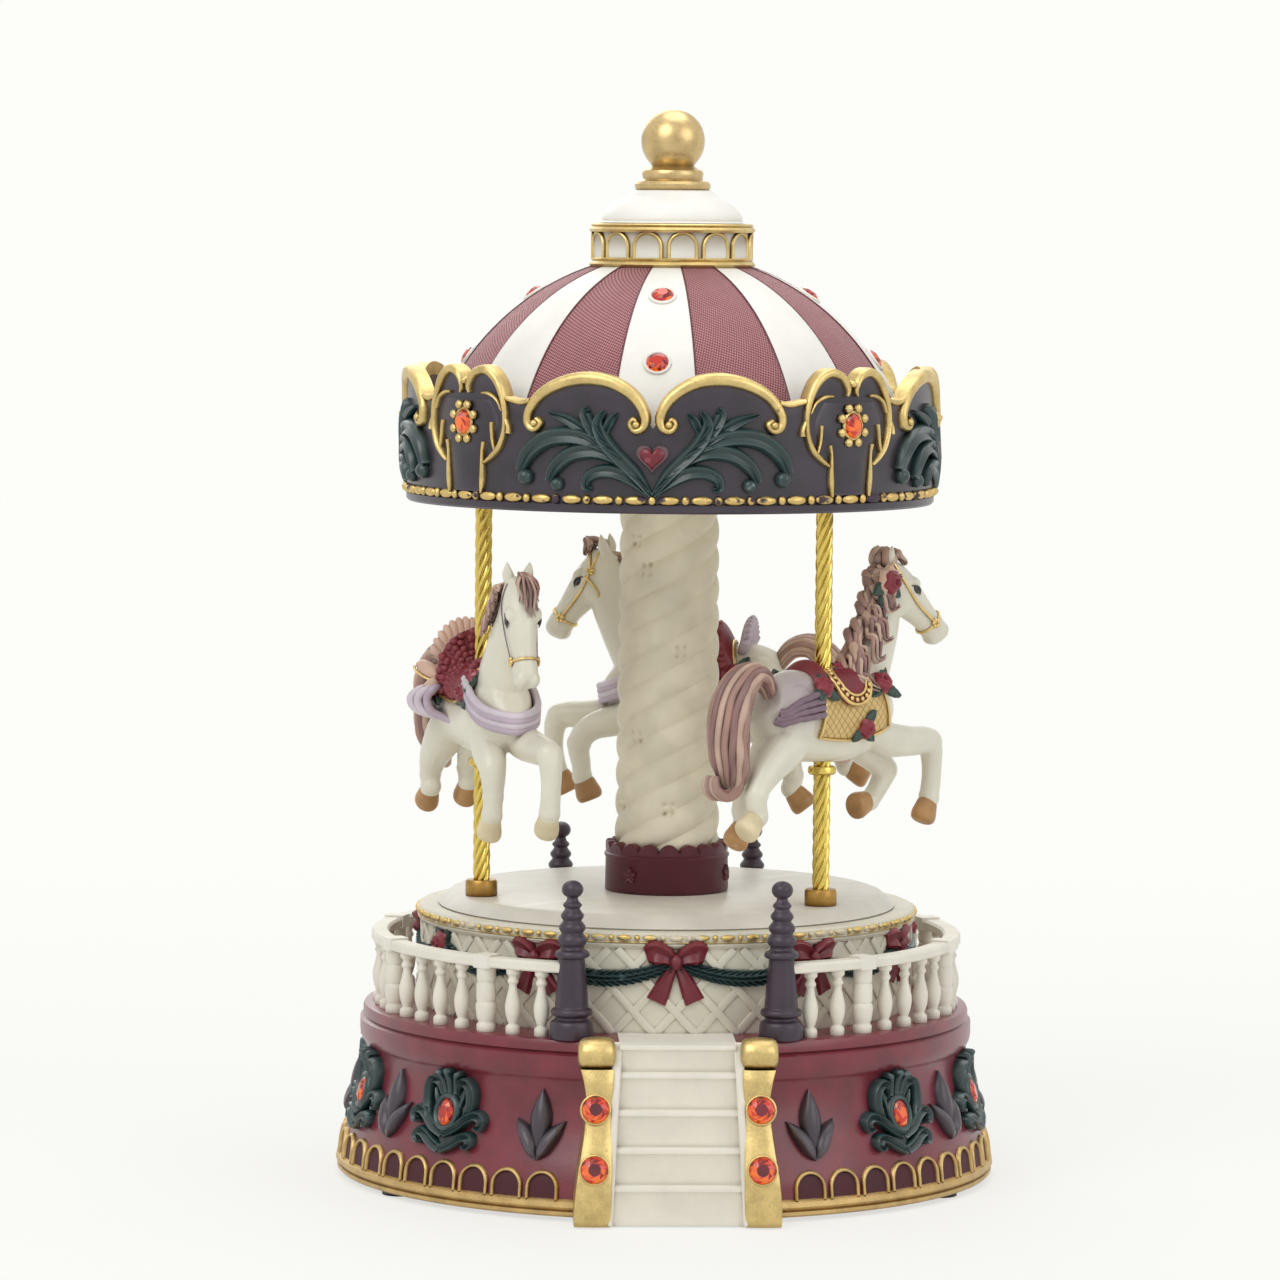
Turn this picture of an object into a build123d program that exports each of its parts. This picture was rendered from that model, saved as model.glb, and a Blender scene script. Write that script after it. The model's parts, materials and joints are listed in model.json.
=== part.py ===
from build123d import *
import os
from math import atan2, cos, degrees, pi, radians, sin, sqrt

# Wind-up carousel music box. Millimetres, +Z up, the origin on the turning axis at table height.
# The front steps face -Y. The carousel turns counter-clockwise seen from above.

# Clearances
RUNNING = 0.05        # radial, between a turning arbor and its bearing
SNUG = 0.04           # radial, between pieces that are glued or clamped together
PASSING = 0.5         # between a turning piece and what it passes

# Base casting
PAD_R = 3.6
PAD_T = 1.0
PAD_COUNT = 6
BASE_R = 65.8
RIM_H = 2.8
RIM_LEDGE = 0.8
WAIST_R = 60.0
WAIST_Z = 21.0
FLARE_SAG = 0.6
SHOULDER_BULGE = 0.8
FASCIA_R = 60.3
FASCIA_H = 3.0
DECK_Z = 34.0
DECK_T = 3.5
CAVITY_R = 55.5
BOSS_R = 3.6
SCREW_R = 1.1

# Base ornaments, angles from the front
MEDALLION_ANGLES = (45, 76, 104, 135)
MEDALLION_Z = 18.3
MEDALLION_W = 8.4
MEDALLION_H = 10.4
MEDALLION_T = 2.2
OVAL_GEM_W = 4.4
OVAL_GEM_H = 5.8
OVAL_GEM_T = 1.7

# Steps and their side scrolls
STEP_COUNT = 5
STEP_RISE = 6.95
STEP_TREAD = 2.05
STAIR_REACH = 2.6     # how far the lowest step stands out past the foot of the base
STAIR_W = 25.7
STAIR_NARROWING = 0.45
SCROLL_W = 6.8
SCROLL_LEAN = 4.0
VOLUTE_R = 3.8
VOLUTE_RISE = 2.0     # volute top above the deck
ROUND_GEM_R = 2.5

# Fence round the deck
FENCE_R = 57.0
POST_X = 20.0
POST_H = 30.3
POST_R = 3.1
RAIL_W = 3.5
RAIL_T = 2.0
RAIL_TOP = 14.5       # above the deck
BALUSTER_R = 1.4
PIER_R = 2.0
FENCE_BAYS = 22
PIER_BAYS = (3, 8, 14, 19)

# Lattice drum
DRUM_R = 48.6
DRUM_WALL = 3.4
DRUM_H = 19.6
DRUM_RIM_R = 49.7
DRUM_RIM_H = 2.3
DRUM_PLATE_T = 2.4
DRUM_RECESS = 1.2     # drum plate below its rim
BUSH_R = 5.0
BUSH_FLANGE_R = 7.0
BUSH_FLANGE_T = 0.6

# Turning floor, column and canopy
TURNTABLE_R = 45.5
TURNTABLE_T = 2.4
TURNTABLE_LIFT = 0.4
HUB_R = 8.0
HUB_GAP = 0.3
ROD_R = 2.5
NUT_FLATS = 8.0
NUT_T = 3.0
COLUMN_H = 79.6
COLUMN_R = 10.6
COLUMN_TOP_R = 9.9
COLUMN_WALL = 3.6
COLLAR_R = 12.3
COLLAR_H = 10.0
CEILING_T = 2.0
VALANCE_R = 52.2
VALANCE_WALL = 2.2
VALANCE_DROP = 2.0    # valance foot below the ceiling
VALANCE_LEDGE = 2.0
VALANCE_DIP = 14.5    # lowest point of the scalloped edge above the ceiling
ARCH_TOP = 23.5
ARCH_R = 11.0
ARCH_ANGLE = 15.5
CARTOUCHE_TOP = 25.8
CARTOUCHE_R = 9.0
CANOPY_FOLD = 4
CANOPY_ANGLE = -96.0  # a valance bay centre, about Z from +X
DOME_R = 49.4
DOME_T = 2.0
DOME_SINK = 2.3       # dome centre below the ceiling underside
DOME_GEM_R = 2.2
DOME_GEM_ELEVATIONS = (56.7, 35.5)
VALANCE_GEM_R = 2.3
HEART_GEM_Z = 8.0     # above the ceiling underside
CARTOUCHE_GEM_Z = 14.5
GALLERY_R = 16.3
GALLERY_H = 8.6
GALLERY_WALL = 5.0
CAP_R = 13.6
CAP_TOP_R = 6.6
CAP_H = 6.6
FINIAL_RING_R = 7.3
FINIAL_RING_H = 2.2
FINIAL_NECK_R = 3.4
FINIAL_BALL_R = 6.3
STEM_R = 2.0
STEM_H = 4.0

# Poles and horses
POLE_COUNT = 3
POLE_ANGLE = 198.3
POLE_CIRCLE_R = 39.0
POLE_R = 1.6
FERRULE_R = 3.15
FERRULE_H = 3.2
BELLY_COLLAR_R = 2.7
BELLY_COLLAR_H = 1.6
BELLY_H = 27.3        # belly above the turntable
EAR_H = 3.8

# Horse forms about the pole: forward, above the belly, half width, half depth
TRUNK = ((-19.0, 13.0, 2.2, 2.6), (-17.0, 12.2, 4.8, 6.0), (-11.0, 10.8, 6.4, 8.8), (-2.0, 9.2, 6.2, 8.5),
         (6.0, 9.4, 6.4, 8.8), (13.0, 10.8, 5.6, 8.0), (18.0, 12.4, 3.0, 4.6))
NECK_ROOT = ((11.0, 15.0, 5.0, 7.0), (15.6, 22.3, 4.3, 5.8))
TAIL = ((-17.0, 15.4, 1.8, 1.8), (-22.0, 18.6, 3.6, 2.6), (-27.8, 15.0, 4.5, 2.9), (-29.4, 7.5, 4.6, 2.9),
        (-27.8, 0.5, 3.9, 2.6), (-29.6, -3.6, 1.9, 1.6))
SADDLE = ((-8.6, 17.4, 3.8, 2.0), (-6.6, 15.6, 6.9, 4.2), (0.0, 14.2, 7.0, 4.2), (6.0, 15.2, 6.7, 4.0),
          (8.0, 16.8, 3.6, 2.0))

# Horse head from the poll to the lips: along it, half width, half depth
HEAD = ((0.0, 2.8, 3.2), (5.2, 3.6, 4.6), (12.0, 3.0, 3.8), (17.6, 2.7, 3.0), (20.2, 2.0, 2.2))
HEAD_POSES = (        # poll forward, poll above the belly, tip down, turn to the left
    (20.6, 36.4, 72.0, -6.0),
    (18.8, 38.2, 44.0, -14.0),
    (19.4, 37.2, 54.0, -14.0),
)

# Horse legs from inside the trunk to the hoof: forward, above the belly, radius
LEG_Y = 3.5
LEG_ROUND = 1.04      # leg depth over width
FORE_FORWARD = ((9.0, 8.0, 3.1), (15.5, 4.6, 3.5), (23.5, 3.6, 3.0), (29.8, 3.0, 2.6), (31.0, -2.2, 2.0),
                (30.2, -8.0, 2.0), (30.0, -11.8, 2.8))
FORE_HANGING = ((8.5, 8.0, 3.1), (12.6, 3.0, 3.4), (16.6, -0.8, 2.7), (17.0, -6.0, 2.0), (16.4, -9.6, 2.0),
                (16.4, -12.6, 2.8))
FORE_TUCKED = ((8.5, 8.0, 3.1), (15.0, 3.4, 3.4), (21.6, -0.4, 2.7), (24.6, -2.6, 2.5), (22.6, -6.0, 2.0),
               (19.8, -8.4, 2.0), (16.4, -10.8, 2.8))
FORE_DOWN = ((8.5, 8.0, 3.1), (15.0, 3.8, 3.4), (21.6, 1.6, 2.8), (24.4, -1.8, 2.4), (23.9, -6.2, 2.0),
             (23.7, -8.6, 2.0), (23.8, -11.4, 2.8))
HIND_BENT = ((-9.5, 9.0, 3.4), (-14.0, 3.6, 4.0), (-19.6, -1.4, 3.0), (-22.0, -5.2, 2.1), (-21.6, -7.6, 2.0),
             (-22.4, -10.4, 2.8))
HIND_RAISED = ((-9.5, 9.0, 3.4), (-12.6, 3.4, 3.8), (-17.4, -1.0, 2.8), (-19.4, -4.0, 2.1),
               (-18.8, -6.4, 2.0), (-19.2, -9.0, 2.8))
HIND_BACK = ((-9.5, 9.0, 3.4), (-15.4, 4.8, 4.0), (-21.6, 0.6, 3.1), (-24.8, -3.6, 2.2), (-24.4, -7.8, 2.0),
             (-26.4, -11.4, 2.8))
HIND_UNDER = ((-9.5, 9.0, 3.4), (-13.0, 2.8, 3.8), (-18.4, -3.0, 2.8), (-20.2, -7.4, 2.1),
              (-19.8, -10.0, 2.0), (-20.6, -13.0, 2.8))
HIND_KICKED = ((-9.5, 9.0, 3.4), (-16.0, 4.6, 4.0), (-23.4, 0.6, 3.1), (-28.4, -2.6, 2.2), (-30.2, -5.8, 2.0),
               (-32.6, -8.6, 2.8))
HORSE_LEGS = (        # right fore, left fore, right hind, left hind
    (FORE_HANGING, FORE_FORWARD, HIND_BENT, HIND_RAISED),
    (FORE_FORWARD, FORE_TUCKED, HIND_BACK, HIND_UNDER),
    (FORE_FORWARD, FORE_DOWN, HIND_KICKED, HIND_UNDER),
)

# Winding key and underside cover
COVER_Z = 19.0
COVER_T = 1.2
COVER_GAP = 1.0
ARBOR_R = 1.6
KEY_T = 2.2
KEY_LOBE_R = 6.2
KEY_LOBE_X = 7.6
KEY_HOLE_R = 2.4
KEY_HUB_R = 3.0
KEY_FOOT_Z = 3.2

# Musical movement
BEDPLATE_T = 2.2
BARREL_R = 12.0
BARREL_H = 10.0
BARREL_WALL = 0.8
BARREL_LIFT = 1.6
LID_T = 1.2
LID_BOSS_R = 4.6
LID_BOSS_H = 6.0
SPRING_T = 0.35
SPRING_PITCH = 0.9
RATCHET_R = 5.0
RATCHET_TEETH = 12
RATCHET_T = 1.0
CROWN_TEETH = 48
CROWN_FACE = 2.4
CROWN_PLATE_T = 1.0
CROWN_LIFT = 3.15     # tooth roots above the foot of the barrel
PINION_TEETH = 12
TRAIN_MODULE = 0.4
CYLINDER_TEETH = 48
SECOND_TEETH = 10
WORM_MODULE = 0.35
WORM_WHEEL_TEETH = 24
WORM_R = 1.3
WORM_TURNS = 6
PIVOT_R = 0.5
PIVOT_L = 1.2
CYLINDER_R = 6.2
CYLINDER_L = 18.2
PIN_R = 0.2
PIN_H = 0.45
NOTES = 18
PINS_PER_NOTE = 3
TRAIN_ARBOR_R = 1.0
WHEEL_T = 1.0
PINION_T = 1.6
BRACKET_T = 1.2
COMB_T = 1.0
COMB_L = 15.6
COMB_ROOT = 6.0
COMB_GAP = 0.15
FAN_R = 5.6
FAN_H = 5.0
GOVERNOR_POST_W = 5.0

# Heights and places that follow from the sizes above
DECK_UNDER_Z = DECK_Z - DECK_T
DRUM_TOP_Z = DECK_Z + DRUM_H
DRUM_PLATE_Z = DRUM_TOP_Z - DRUM_RECESS
BUSH_TOP_Z = DRUM_PLATE_Z + BUSH_FLANGE_T
TURNTABLE_Z = DRUM_TOP_Z + TURNTABLE_LIFT
FLOOR_Z = TURNTABLE_Z + TURNTABLE_T
CEILING_Z = FLOOR_Z + COLUMN_H
CEILING_TOP_Z = CEILING_Z + CEILING_T
VALANCE_INNER_R = VALANCE_R - VALANCE_WALL
DOME_CENTRE_Z = CEILING_Z - DOME_SINK
GALLERY_Z = DOME_CENTRE_Z + sqrt(DOME_R**2 - GALLERY_R**2)
CAP_Z = GALLERY_Z + GALLERY_H
FINIAL_Z = CAP_Z + CAP_H
COVER_TOP_Z = COVER_Z + COVER_T
COVER_R = CAVITY_R - COVER_GAP
BEDPLATE_Z = COVER_TOP_Z + BEDPLATE_T
BARREL_Z = BEDPLATE_Z + BARREL_LIFT
BARREL_TOP_Z = BARREL_Z + BARREL_H
LID_TOP_Z = BARREL_TOP_Z + LID_T
ROD_FOOT_Z = LID_TOP_Z + 0.8
ROD_TOP_Z = CEILING_TOP_Z + NUT_T + 1.0
CROWN_R = BARREL_R + CROWN_FACE
CROWN_MODULE = 2 * CROWN_R / CROWN_TEETH
CROWN_Z = BARREL_Z + CROWN_LIFT
PINION_R = PINION_TEETH * CROWN_MODULE / 2
TRAIN_Z = CROWN_Z + 1.25 * CROWN_MODULE + PINION_R
INNER_BRACKET_X = CROWN_R + CROWN_FACE / 2 + PASSING
CYLINDER_X = INNER_BRACKET_X + BRACKET_T + PASSING
CYLINDER_WHEEL_X = CYLINDER_X + CYLINDER_L + PASSING
OUTER_BRACKET_X = CYLINDER_WHEEL_X + WHEEL_T + PASSING
SECOND_Y = -(CYLINDER_TEETH + SECOND_TEETH) * TRAIN_MODULE / 2
WORM_WHEEL_R = WORM_WHEEL_TEETH * WORM_MODULE / 2
WORM_WHEEL_X = CYLINDER_X + 0.6 * CYLINDER_L
WORM_Y = SECOND_Y - WORM_WHEEL_R - WORM_R
WORM_LEAD = pi * WORM_MODULE
WORM_CORE_R = WORM_R - 1.2 * WORM_MODULE
FAN_Z = TRAIN_Z + WORM_WHEEL_R + 1.5
GOVERNOR_ARM_Z = FAN_Z + FAN_H + 1.0
POST_Y = sqrt(FENCE_R**2 - POST_X**2)
FENCE_START = degrees(atan2(POST_X, POST_Y))
BELLY_Z = FLOOR_Z + BELLY_H
POLE_ANGLES = [POLE_ANGLE + k * 360 / POLE_COUNT for k in range(POLE_COUNT)]
COVER_SCREW_ANGLES = (60, 180, 300)
LOWER = (Align.CENTER, Align.CENTER, Align.MIN)


def bar(radius, bottom, top):
    """Upright round bar on the centre axis."""
    return Pos(0, 0, bottom) * Cylinder(radius, top - bottom, align=LOWER)


def tube(outer, inner, bottom, top):
    return bar(outer, bottom, top) - bar(inner, bottom, top)


def block(x0, x1, y0, y1, z0, z1):
    """Box between two corners."""
    size = Box(x1 - x0, y1 - y0, z1 - z0)
    return Pos((x0 + x1) / 2, (y0 + y1) / 2, (z0 + z1) / 2) * size


def cross_bar(radius, x0, x1, y=0.0, z=TRAIN_Z):
    """Round bar along X between two places."""
    return Pos(x0, y, z) * Rot(0, 90, 0) * Cylinder(radius, x1 - x0, align=LOWER)


def turned(edges):
    """Solid turned about Z from edges drawn as (radius, height)."""
    return revolve(make_face(Plane.XZ * Curve(edges)), Axis.Z)


def turned_outline(points):
    return turned([Polyline(*points, close=True)])


def polar(radius, angle):
    return radius * cos(radians(angle)), radius * sin(radians(angle))


def from_front(angle):
    """Turn about Z for an angle counted from the front, to the right."""
    return angle - 90


def radial(shape, angle):
    """A shape drawn along +X, turned to an angle about Z."""
    return Rot(0, 0, angle) * shape


def hexagon_nut(bottom):
    sides = RegularPolygon(NUT_FLATS / 2, 6, major_radius=False)
    return Pos(0, 0, bottom) * extrude(sides, NUT_T) - bar(ROD_R + SNUG, bottom, bottom + NUT_T)


def screw(head_r, head_t, shank_r, length):
    """Pan-head screw pointing up, the underside of its head at the origin."""
    slot = Pos(0, 0, -head_t) * Box(2 * head_r, head_r / 3, head_t)
    return bar(head_r, -head_t, 0) + bar(shank_r, 0, length) - slot


# Base casting and its ornaments

def base_block():
    """The base's outer form as a filled solid."""
    rim_top = PAD_T + RIM_H
    fascia_z = DECK_Z - FASCIA_H
    foot_r = BASE_R - RIM_LEDGE
    flare_mid = ((foot_r + WAIST_R) / 2 - FLARE_SAG, (rim_top + WAIST_Z) / 2)
    shoulder_mid = (WAIST_R + SHOULDER_BULGE, (WAIST_Z + fascia_z) / 2)
    return turned([
        Polyline((0, PAD_T), (BASE_R, PAD_T), (BASE_R, rim_top), (foot_r, rim_top)),
        ThreePointArc((foot_r, rim_top), flare_mid, (WAIST_R, WAIST_Z)),
        ThreePointArc((WAIST_R, WAIST_Z), shoulder_mid, (WAIST_R, fascia_z)),
        Polyline((WAIST_R, fascia_z), (FASCIA_R, fascia_z), (FASCIA_R, DECK_Z), (0, DECK_Z)),
        Line((0, DECK_Z), (0, PAD_T)),
    ])


def cover_screw_places():
    return [polar(CAVITY_R - BOSS_R + 0.6, angle) for angle in COVER_SCREW_ANGLES]


def base_shell(outer):
    shell = outer - bar(CAVITY_R, PAD_T, DECK_UNDER_Z)
    shell -= bar(DRUM_R - DRUM_WALL, DECK_UNDER_Z, DECK_Z)
    for x, y in cover_screw_places():
        shell += Pos(x, y) * bar(BOSS_R, COVER_TOP_Z, DECK_UNDER_Z)
        shell -= Pos(x, y) * bar(SCREW_R + SNUG, COVER_TOP_Z, DECK_UNDER_Z - 2)
    return shell


def foot_pads():
    ring_r = (CAVITY_R + BASE_R) / 2
    turns = [360 * (k + 0.5) / PAD_COUNT for k in range(PAD_COUNT)]
    return [Pos(*polar(ring_r, turn)) * bar(PAD_R, 0, PAD_T) for turn in turns]


def medallion_turns():
    return [from_front(side * angle) for side in (1, -1) for angle in MEDALLION_ANGLES]


def medallions(outer):
    oval = Plane.YZ * Ellipse(MEDALLION_W / 2, MEDALLION_H / 2)
    boss = Pos(CAVITY_R, 0, MEDALLION_Z) * extrude(oval, WAIST_R + MEDALLION_T - CAVITY_R)
    return [radial(boss, turn) - outer for turn in medallion_turns()]


def base_gems():
    face_r = WAIST_R + MEDALLION_T
    form = scale(Sphere(1), by=(OVAL_GEM_T, OVAL_GEM_W / 2, OVAL_GEM_H / 2))
    gem = Pos(face_r, 0, MEDALLION_Z) * split(form, Plane.YZ, keep=Keep.TOP)
    return [radial(gem, turn) for turn in medallion_turns()]


# Steps, facing the front; the rear flight is the same turned about

def step_top(step):
    return DECK_Z if step == STEP_COUNT - 1 else PAD_T + STEP_RISE * (step + 1)


def stairs(outer):
    flight = Part()
    for step in range(STEP_COUNT):
        front = BASE_R + STAIR_REACH - step * STEP_TREAD
        half = STAIR_W / 2 - step * STAIR_NARROWING
        flight += block(-half, half, -front, -CAVITY_R, PAD_T, step_top(step))
    return flight - outer


def scroll_outline():
    """Side scroll seen from the side: distance in front of the axis against height."""
    foot = BASE_R + STAIR_REACH + 0.6
    volute_z = DECK_Z + VOLUTE_RISE - VOLUTE_R
    volute_d = FASCIA_R + 1.4
    lower = (foot + 0.4, PAD_T + 8.5)
    waist = (foot - 1.9, PAD_T + 16.5)
    upper = (foot - 2.6, PAD_T + 22.0)
    neck = (volute_d + VOLUTE_R * cos(radians(40)), volute_z - VOLUTE_R * sin(radians(40)))
    front = Spline((foot - 0.8, PAD_T), lower, waist, upper, neck)
    roll = ThreePointArc(neck, (volute_d, volute_z + VOLUTE_R), (volute_d - VOLUTE_R, volute_z))
    back = Polyline((volute_d - VOLUTE_R, volute_z), (volute_d - VOLUTE_R, PAD_T), (foot - 0.8, PAD_T))
    return make_face(Plane.YZ * Curve([front, roll, back]))


def stair_scrolls(outer, flight):
    left_to_right = extrude(scroll_outline(), SCROLL_W)
    lean = Pos(STAIR_W / 2, 0, PAD_T) * Rot(0, -SCROLL_LEAN, 0) * Pos(0, 0, -PAD_T)
    leaning = lean * left_to_right
    upright = leaning & block(0, BASE_R, 0, 2 * BASE_R, PAD_T, DECK_Z + 2 * VOLUTE_R)
    right = mirror(upright, Plane.XZ) - outer - flight
    return [right, mirror(right, Plane.YZ)]


def stair_gems(scrolls, outer):
    """Two round stones on the front of each scroll."""
    gems = []
    for height, inset in ((PAD_T + 10.8, 0.0), (PAD_T + 21.6, 3.0)):
        lean = (height - PAD_T) * sin(radians(SCROLL_LEAN))
        x = STAIR_W / 2 + SCROLL_W / 2 - lean
        front = BASE_R + STAIR_REACH + 0.7 - inset
        ball = scale(Sphere(ROUND_GEM_R), by=(1, 0.75, 1))
        for scroll, side in zip(scrolls, (1, -1)):
            gems.append(Pos(side * x, -front, height) * ball - scroll - outer)
    return gems


# Fence

def post_places():
    return [(x, y) for y in (-POST_Y, POST_Y) for x in (-POST_X, POST_X)]


def newel_post():
    r = POST_R
    ball_r = 0.7 * r
    ball_z = DECK_Z + POST_H - ball_r
    top = DECK_Z + POST_H - 2 * ball_r
    outline = Polyline(
        (0, DECK_Z), (r, DECK_Z), (r, DECK_Z + 1.6), (0.8 * r, DECK_Z + 2.6), (0.92 * r, DECK_Z + 4.0),
        (0.6 * r, DECK_Z + 5.4), (0.82 * r, top - 8.5), (0.6 * r, top - 6.5), (0.95 * r, top - 4.6),
        (0.7 * r, top - 3.2), (0.9 * r, top - 1.8), (0.45 * r, top + 0.3), (0, top + 0.3), (0, DECK_Z),
    )
    return turned([outline]) + Pos(0, 0, ball_z) * Sphere(ball_r)


def newel_posts():
    return [Pos(x, y) * newel_post() for x, y in post_places()]


def rail(side, posts):
    """Flat curved rail from the front post round to the rear post on one side."""
    bottom = DECK_Z + RAIL_TOP - RAIL_T
    arc = 180 - 2 * FENCE_START
    section = Pos(FENCE_R, 0, bottom + RAIL_T / 2) * (Plane.XZ * Rectangle(RAIL_W, RAIL_T))
    start = -arc / 2 if side > 0 else 180 - arc / 2
    body = Rot(0, 0, start) * revolve(section, Axis.Z, arc)
    for post in posts:
        body -= post
    return body


def fence_turns(piers):
    """Angles about Z of the uprights on both sides, either the piers or the balusters."""
    pitch = (180 - 2 * FENCE_START) / FENCE_BAYS
    bays = [k for k in range(1, FENCE_BAYS) if (k in PIER_BAYS) == piers]
    return [from_front(side * (FENCE_START + k * pitch)) for side in (1, -1) for k in bays]


def baluster(r):
    """Vase-turned upright between the deck and the rail."""
    h = RAIL_TOP - RAIL_T
    outline = [
        (0, 0), (r, 0), (r, 0.09 * h), (0.6 * r, 0.15 * h), (0.95 * r, 0.34 * h), (0.85 * r, 0.46 * h),
        (0.5 * r, 0.68 * h), (0.8 * r, 0.76 * h), (0.55 * r, 0.83 * h), (r, 0.92 * h), (r, h), (0, h),
    ]
    return Pos(FENCE_R, 0, DECK_Z) * turned_outline(outline)


def fence_uprights(radius, piers):
    upright = baluster(radius)
    return [radial(upright, turn) for turn in fence_turns(piers)]


# Drum and turning floor

def lattice_drum():
    inner = DRUM_R - DRUM_WALL
    plate_under = DRUM_PLATE_Z - DRUM_PLATE_T
    return turned_outline([
        (BUSH_R + SNUG, DRUM_PLATE_Z), (BUSH_R + SNUG, plate_under), (inner, plate_under), (inner, DECK_Z),
        (DRUM_R, DECK_Z), (DRUM_R, DRUM_TOP_Z - DRUM_RIM_H), (DRUM_RIM_R, DRUM_TOP_Z - DRUM_RIM_H),
        (DRUM_RIM_R, DRUM_TOP_Z), (TURNTABLE_R + PASSING, DRUM_TOP_Z), (TURNTABLE_R + PASSING, DRUM_PLATE_Z),
    ])


def shaft_bush():
    foot = DRUM_PLATE_Z - DRUM_PLATE_T
    body = bar(BUSH_R, foot, DRUM_PLATE_Z) + bar(BUSH_FLANGE_R, DRUM_PLATE_Z, BUSH_TOP_Z)
    return body - bar(ROD_R + RUNNING, foot, BUSH_TOP_Z)


def turntable():
    hub_z = BUSH_TOP_Z + HUB_GAP
    floor = bar(TURNTABLE_R, TURNTABLE_Z, FLOOR_Z) + bar(HUB_R, hub_z, TURNTABLE_Z)
    floor -= bar(ROD_R + SNUG, hub_z, FLOOR_Z)
    for angle in POLE_ANGLES:
        floor -= Pos(*polar(POLE_CIRCLE_R, angle)) * bar(POLE_R + SNUG, TURNTABLE_Z, FLOOR_Z)
    return floor


def centre_rod():
    return bar(ROD_R, ROD_FOOT_Z, ROD_TOP_Z)


def column():
    bore = NUT_FLATS / sqrt(3) + PASSING
    inner = max(bore, COLUMN_TOP_R - COLUMN_WALL)
    return turned_outline([
        (inner, FLOOR_Z), (COLUMN_R, FLOOR_Z), (COLUMN_TOP_R, CEILING_Z), (inner, CEILING_Z),
    ])


def column_collar():
    return tube(COLLAR_R, COLUMN_R + SNUG, FLOOR_Z, FLOOR_Z + COLLAR_H)


# Poles and horses

def pole(angle):
    return Pos(*polar(POLE_CIRCLE_R, angle)) * bar(POLE_R, TURNTABLE_Z, CEILING_Z + CEILING_T / 2)


def pole_rings(radius, bottom, height):
    ring = tube(radius, POLE_R + SNUG, bottom, bottom + height)
    return [Pos(*polar(POLE_CIRCLE_R, angle)) * ring for angle in POLE_ANGLES]


def limb(stations, y=0.0):
    """Tapered round limb through (forward, above the belly, half width, half depth) stations."""
    sections = []
    last = len(stations) - 1
    for k, (x, z, wide, deep) in enumerate(stations):
        before = stations[max(k - 1, 0)]
        after = stations[min(k + 1, last)]
        along = (after[0] - before[0], 0, after[1] - before[1])
        place = Plane(origin=(x, y, BELLY_Z + z), x_dir=(0, 1, 0), z_dir=along)
        sections.append(place * Ellipse(wide, deep))
    return loft(sections)


def leg(stations, y):
    return limb([(x, z, r, LEG_ROUND * r) for x, z, r in stations], y)


def ears():
    """Two short cones on top of the poll."""
    _, wide, deep = HEAD[0]
    cone = Cone(0.3 * deep, 0.1 * deep, EAR_H, align=LOWER)
    return [Pos(0.2 * deep, side * 0.6 * wide, 0.1 * deep) * Rot(side * -8, 10, 0) * cone for side in (1, -1)]


def head_and_neck(x, z, tip, turn):
    """Neck from the trunk to the poll at (x, z), and the head that hangs from it."""
    root_x, root_z, root_wide, root_deep = NECK_ROOT[-1]
    _, poll_wide, poll_deep = HEAD[0]
    end_x, end_z = x + 0.6, z - 1.8
    wide, deep = 1.08 * poll_wide, 1.18 * poll_deep
    crest = ((root_x + end_x) / 2 + 0.8, (root_z + end_z) / 2, (root_wide + wide) / 2, (root_deep + deep) / 2)
    neck = limb([*NECK_ROOT, crest, (end_x, end_z, wide, deep)])
    poll = Pos(x, 0, BELLY_Z + z) * Rot(0, 0, turn)
    skull = limb([(along, 0.0, wide, deep) for along, wide, deep in HEAD])
    return neck + [poll * Rot(0, tip, 0) * Pos(0, 0, -BELLY_Z) * skull] + [poll * ear for ear in ears()]


def horse(legs, head_pose):
    """One horse casting about its pole: +X forward, +Y to its left."""
    sides = (-LEG_Y, LEG_Y, -LEG_Y, LEG_Y)
    whole = limb(TRUNK) + limb(TAIL) + limb(SADDLE) + head_and_neck(*head_pose)
    whole += [leg(stations, y) for stations, y in zip(legs, sides)]
    return whole - bar(POLE_R + SNUG, FLOOR_Z, CEILING_Z)


def placed_horse(shape, angle):
    x, y = polar(POLE_CIRCLE_R, angle)
    return Pos(x, y, 0) * Rot(0, 0, angle + 90) * shape


# Canopy

def canopy_turns(offset):
    return [CANOPY_ANGLE + offset + k * 360 / CANOPY_FOLD for k in range(CANOPY_FOLD)]


def canopy_ceiling():
    ceiling = tube(VALANCE_INNER_R - SNUG, ROD_R + SNUG, CEILING_Z, CEILING_TOP_Z)
    for angle in POLE_ANGLES:
        hole = bar(POLE_R + SNUG, CEILING_Z, CEILING_Z + CEILING_T / 2)
        ceiling -= Pos(*polar(POLE_CIRCLE_R, angle)) * hole
    return ceiling


def valance():
    """Scalloped wall with a ledge inside its foot that the ceiling lies on."""
    foot = CEILING_Z - VALANCE_DROP
    top = CEILING_Z + max(ARCH_TOP, CARTOUCHE_TOP)
    ledge = tube(VALANCE_INNER_R, VALANCE_INNER_R - VALANCE_LEDGE, foot, CEILING_Z)
    mask = bar(VALANCE_R + 1, foot, CEILING_Z + VALANCE_DIP)
    for offset in (-ARCH_ANGLE, ARCH_ANGLE):
        mask += [radial(lobe(ARCH_R, ARCH_TOP), turn) for turn in canopy_turns(offset)]
    mask += [radial(lobe(CARTOUCHE_R, CARTOUCHE_TOP), turn) for turn in canopy_turns(180 / CANOPY_FOLD)]
    return (tube(VALANCE_R, VALANCE_INNER_R, foot, top) & mask) + ledge


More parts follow.
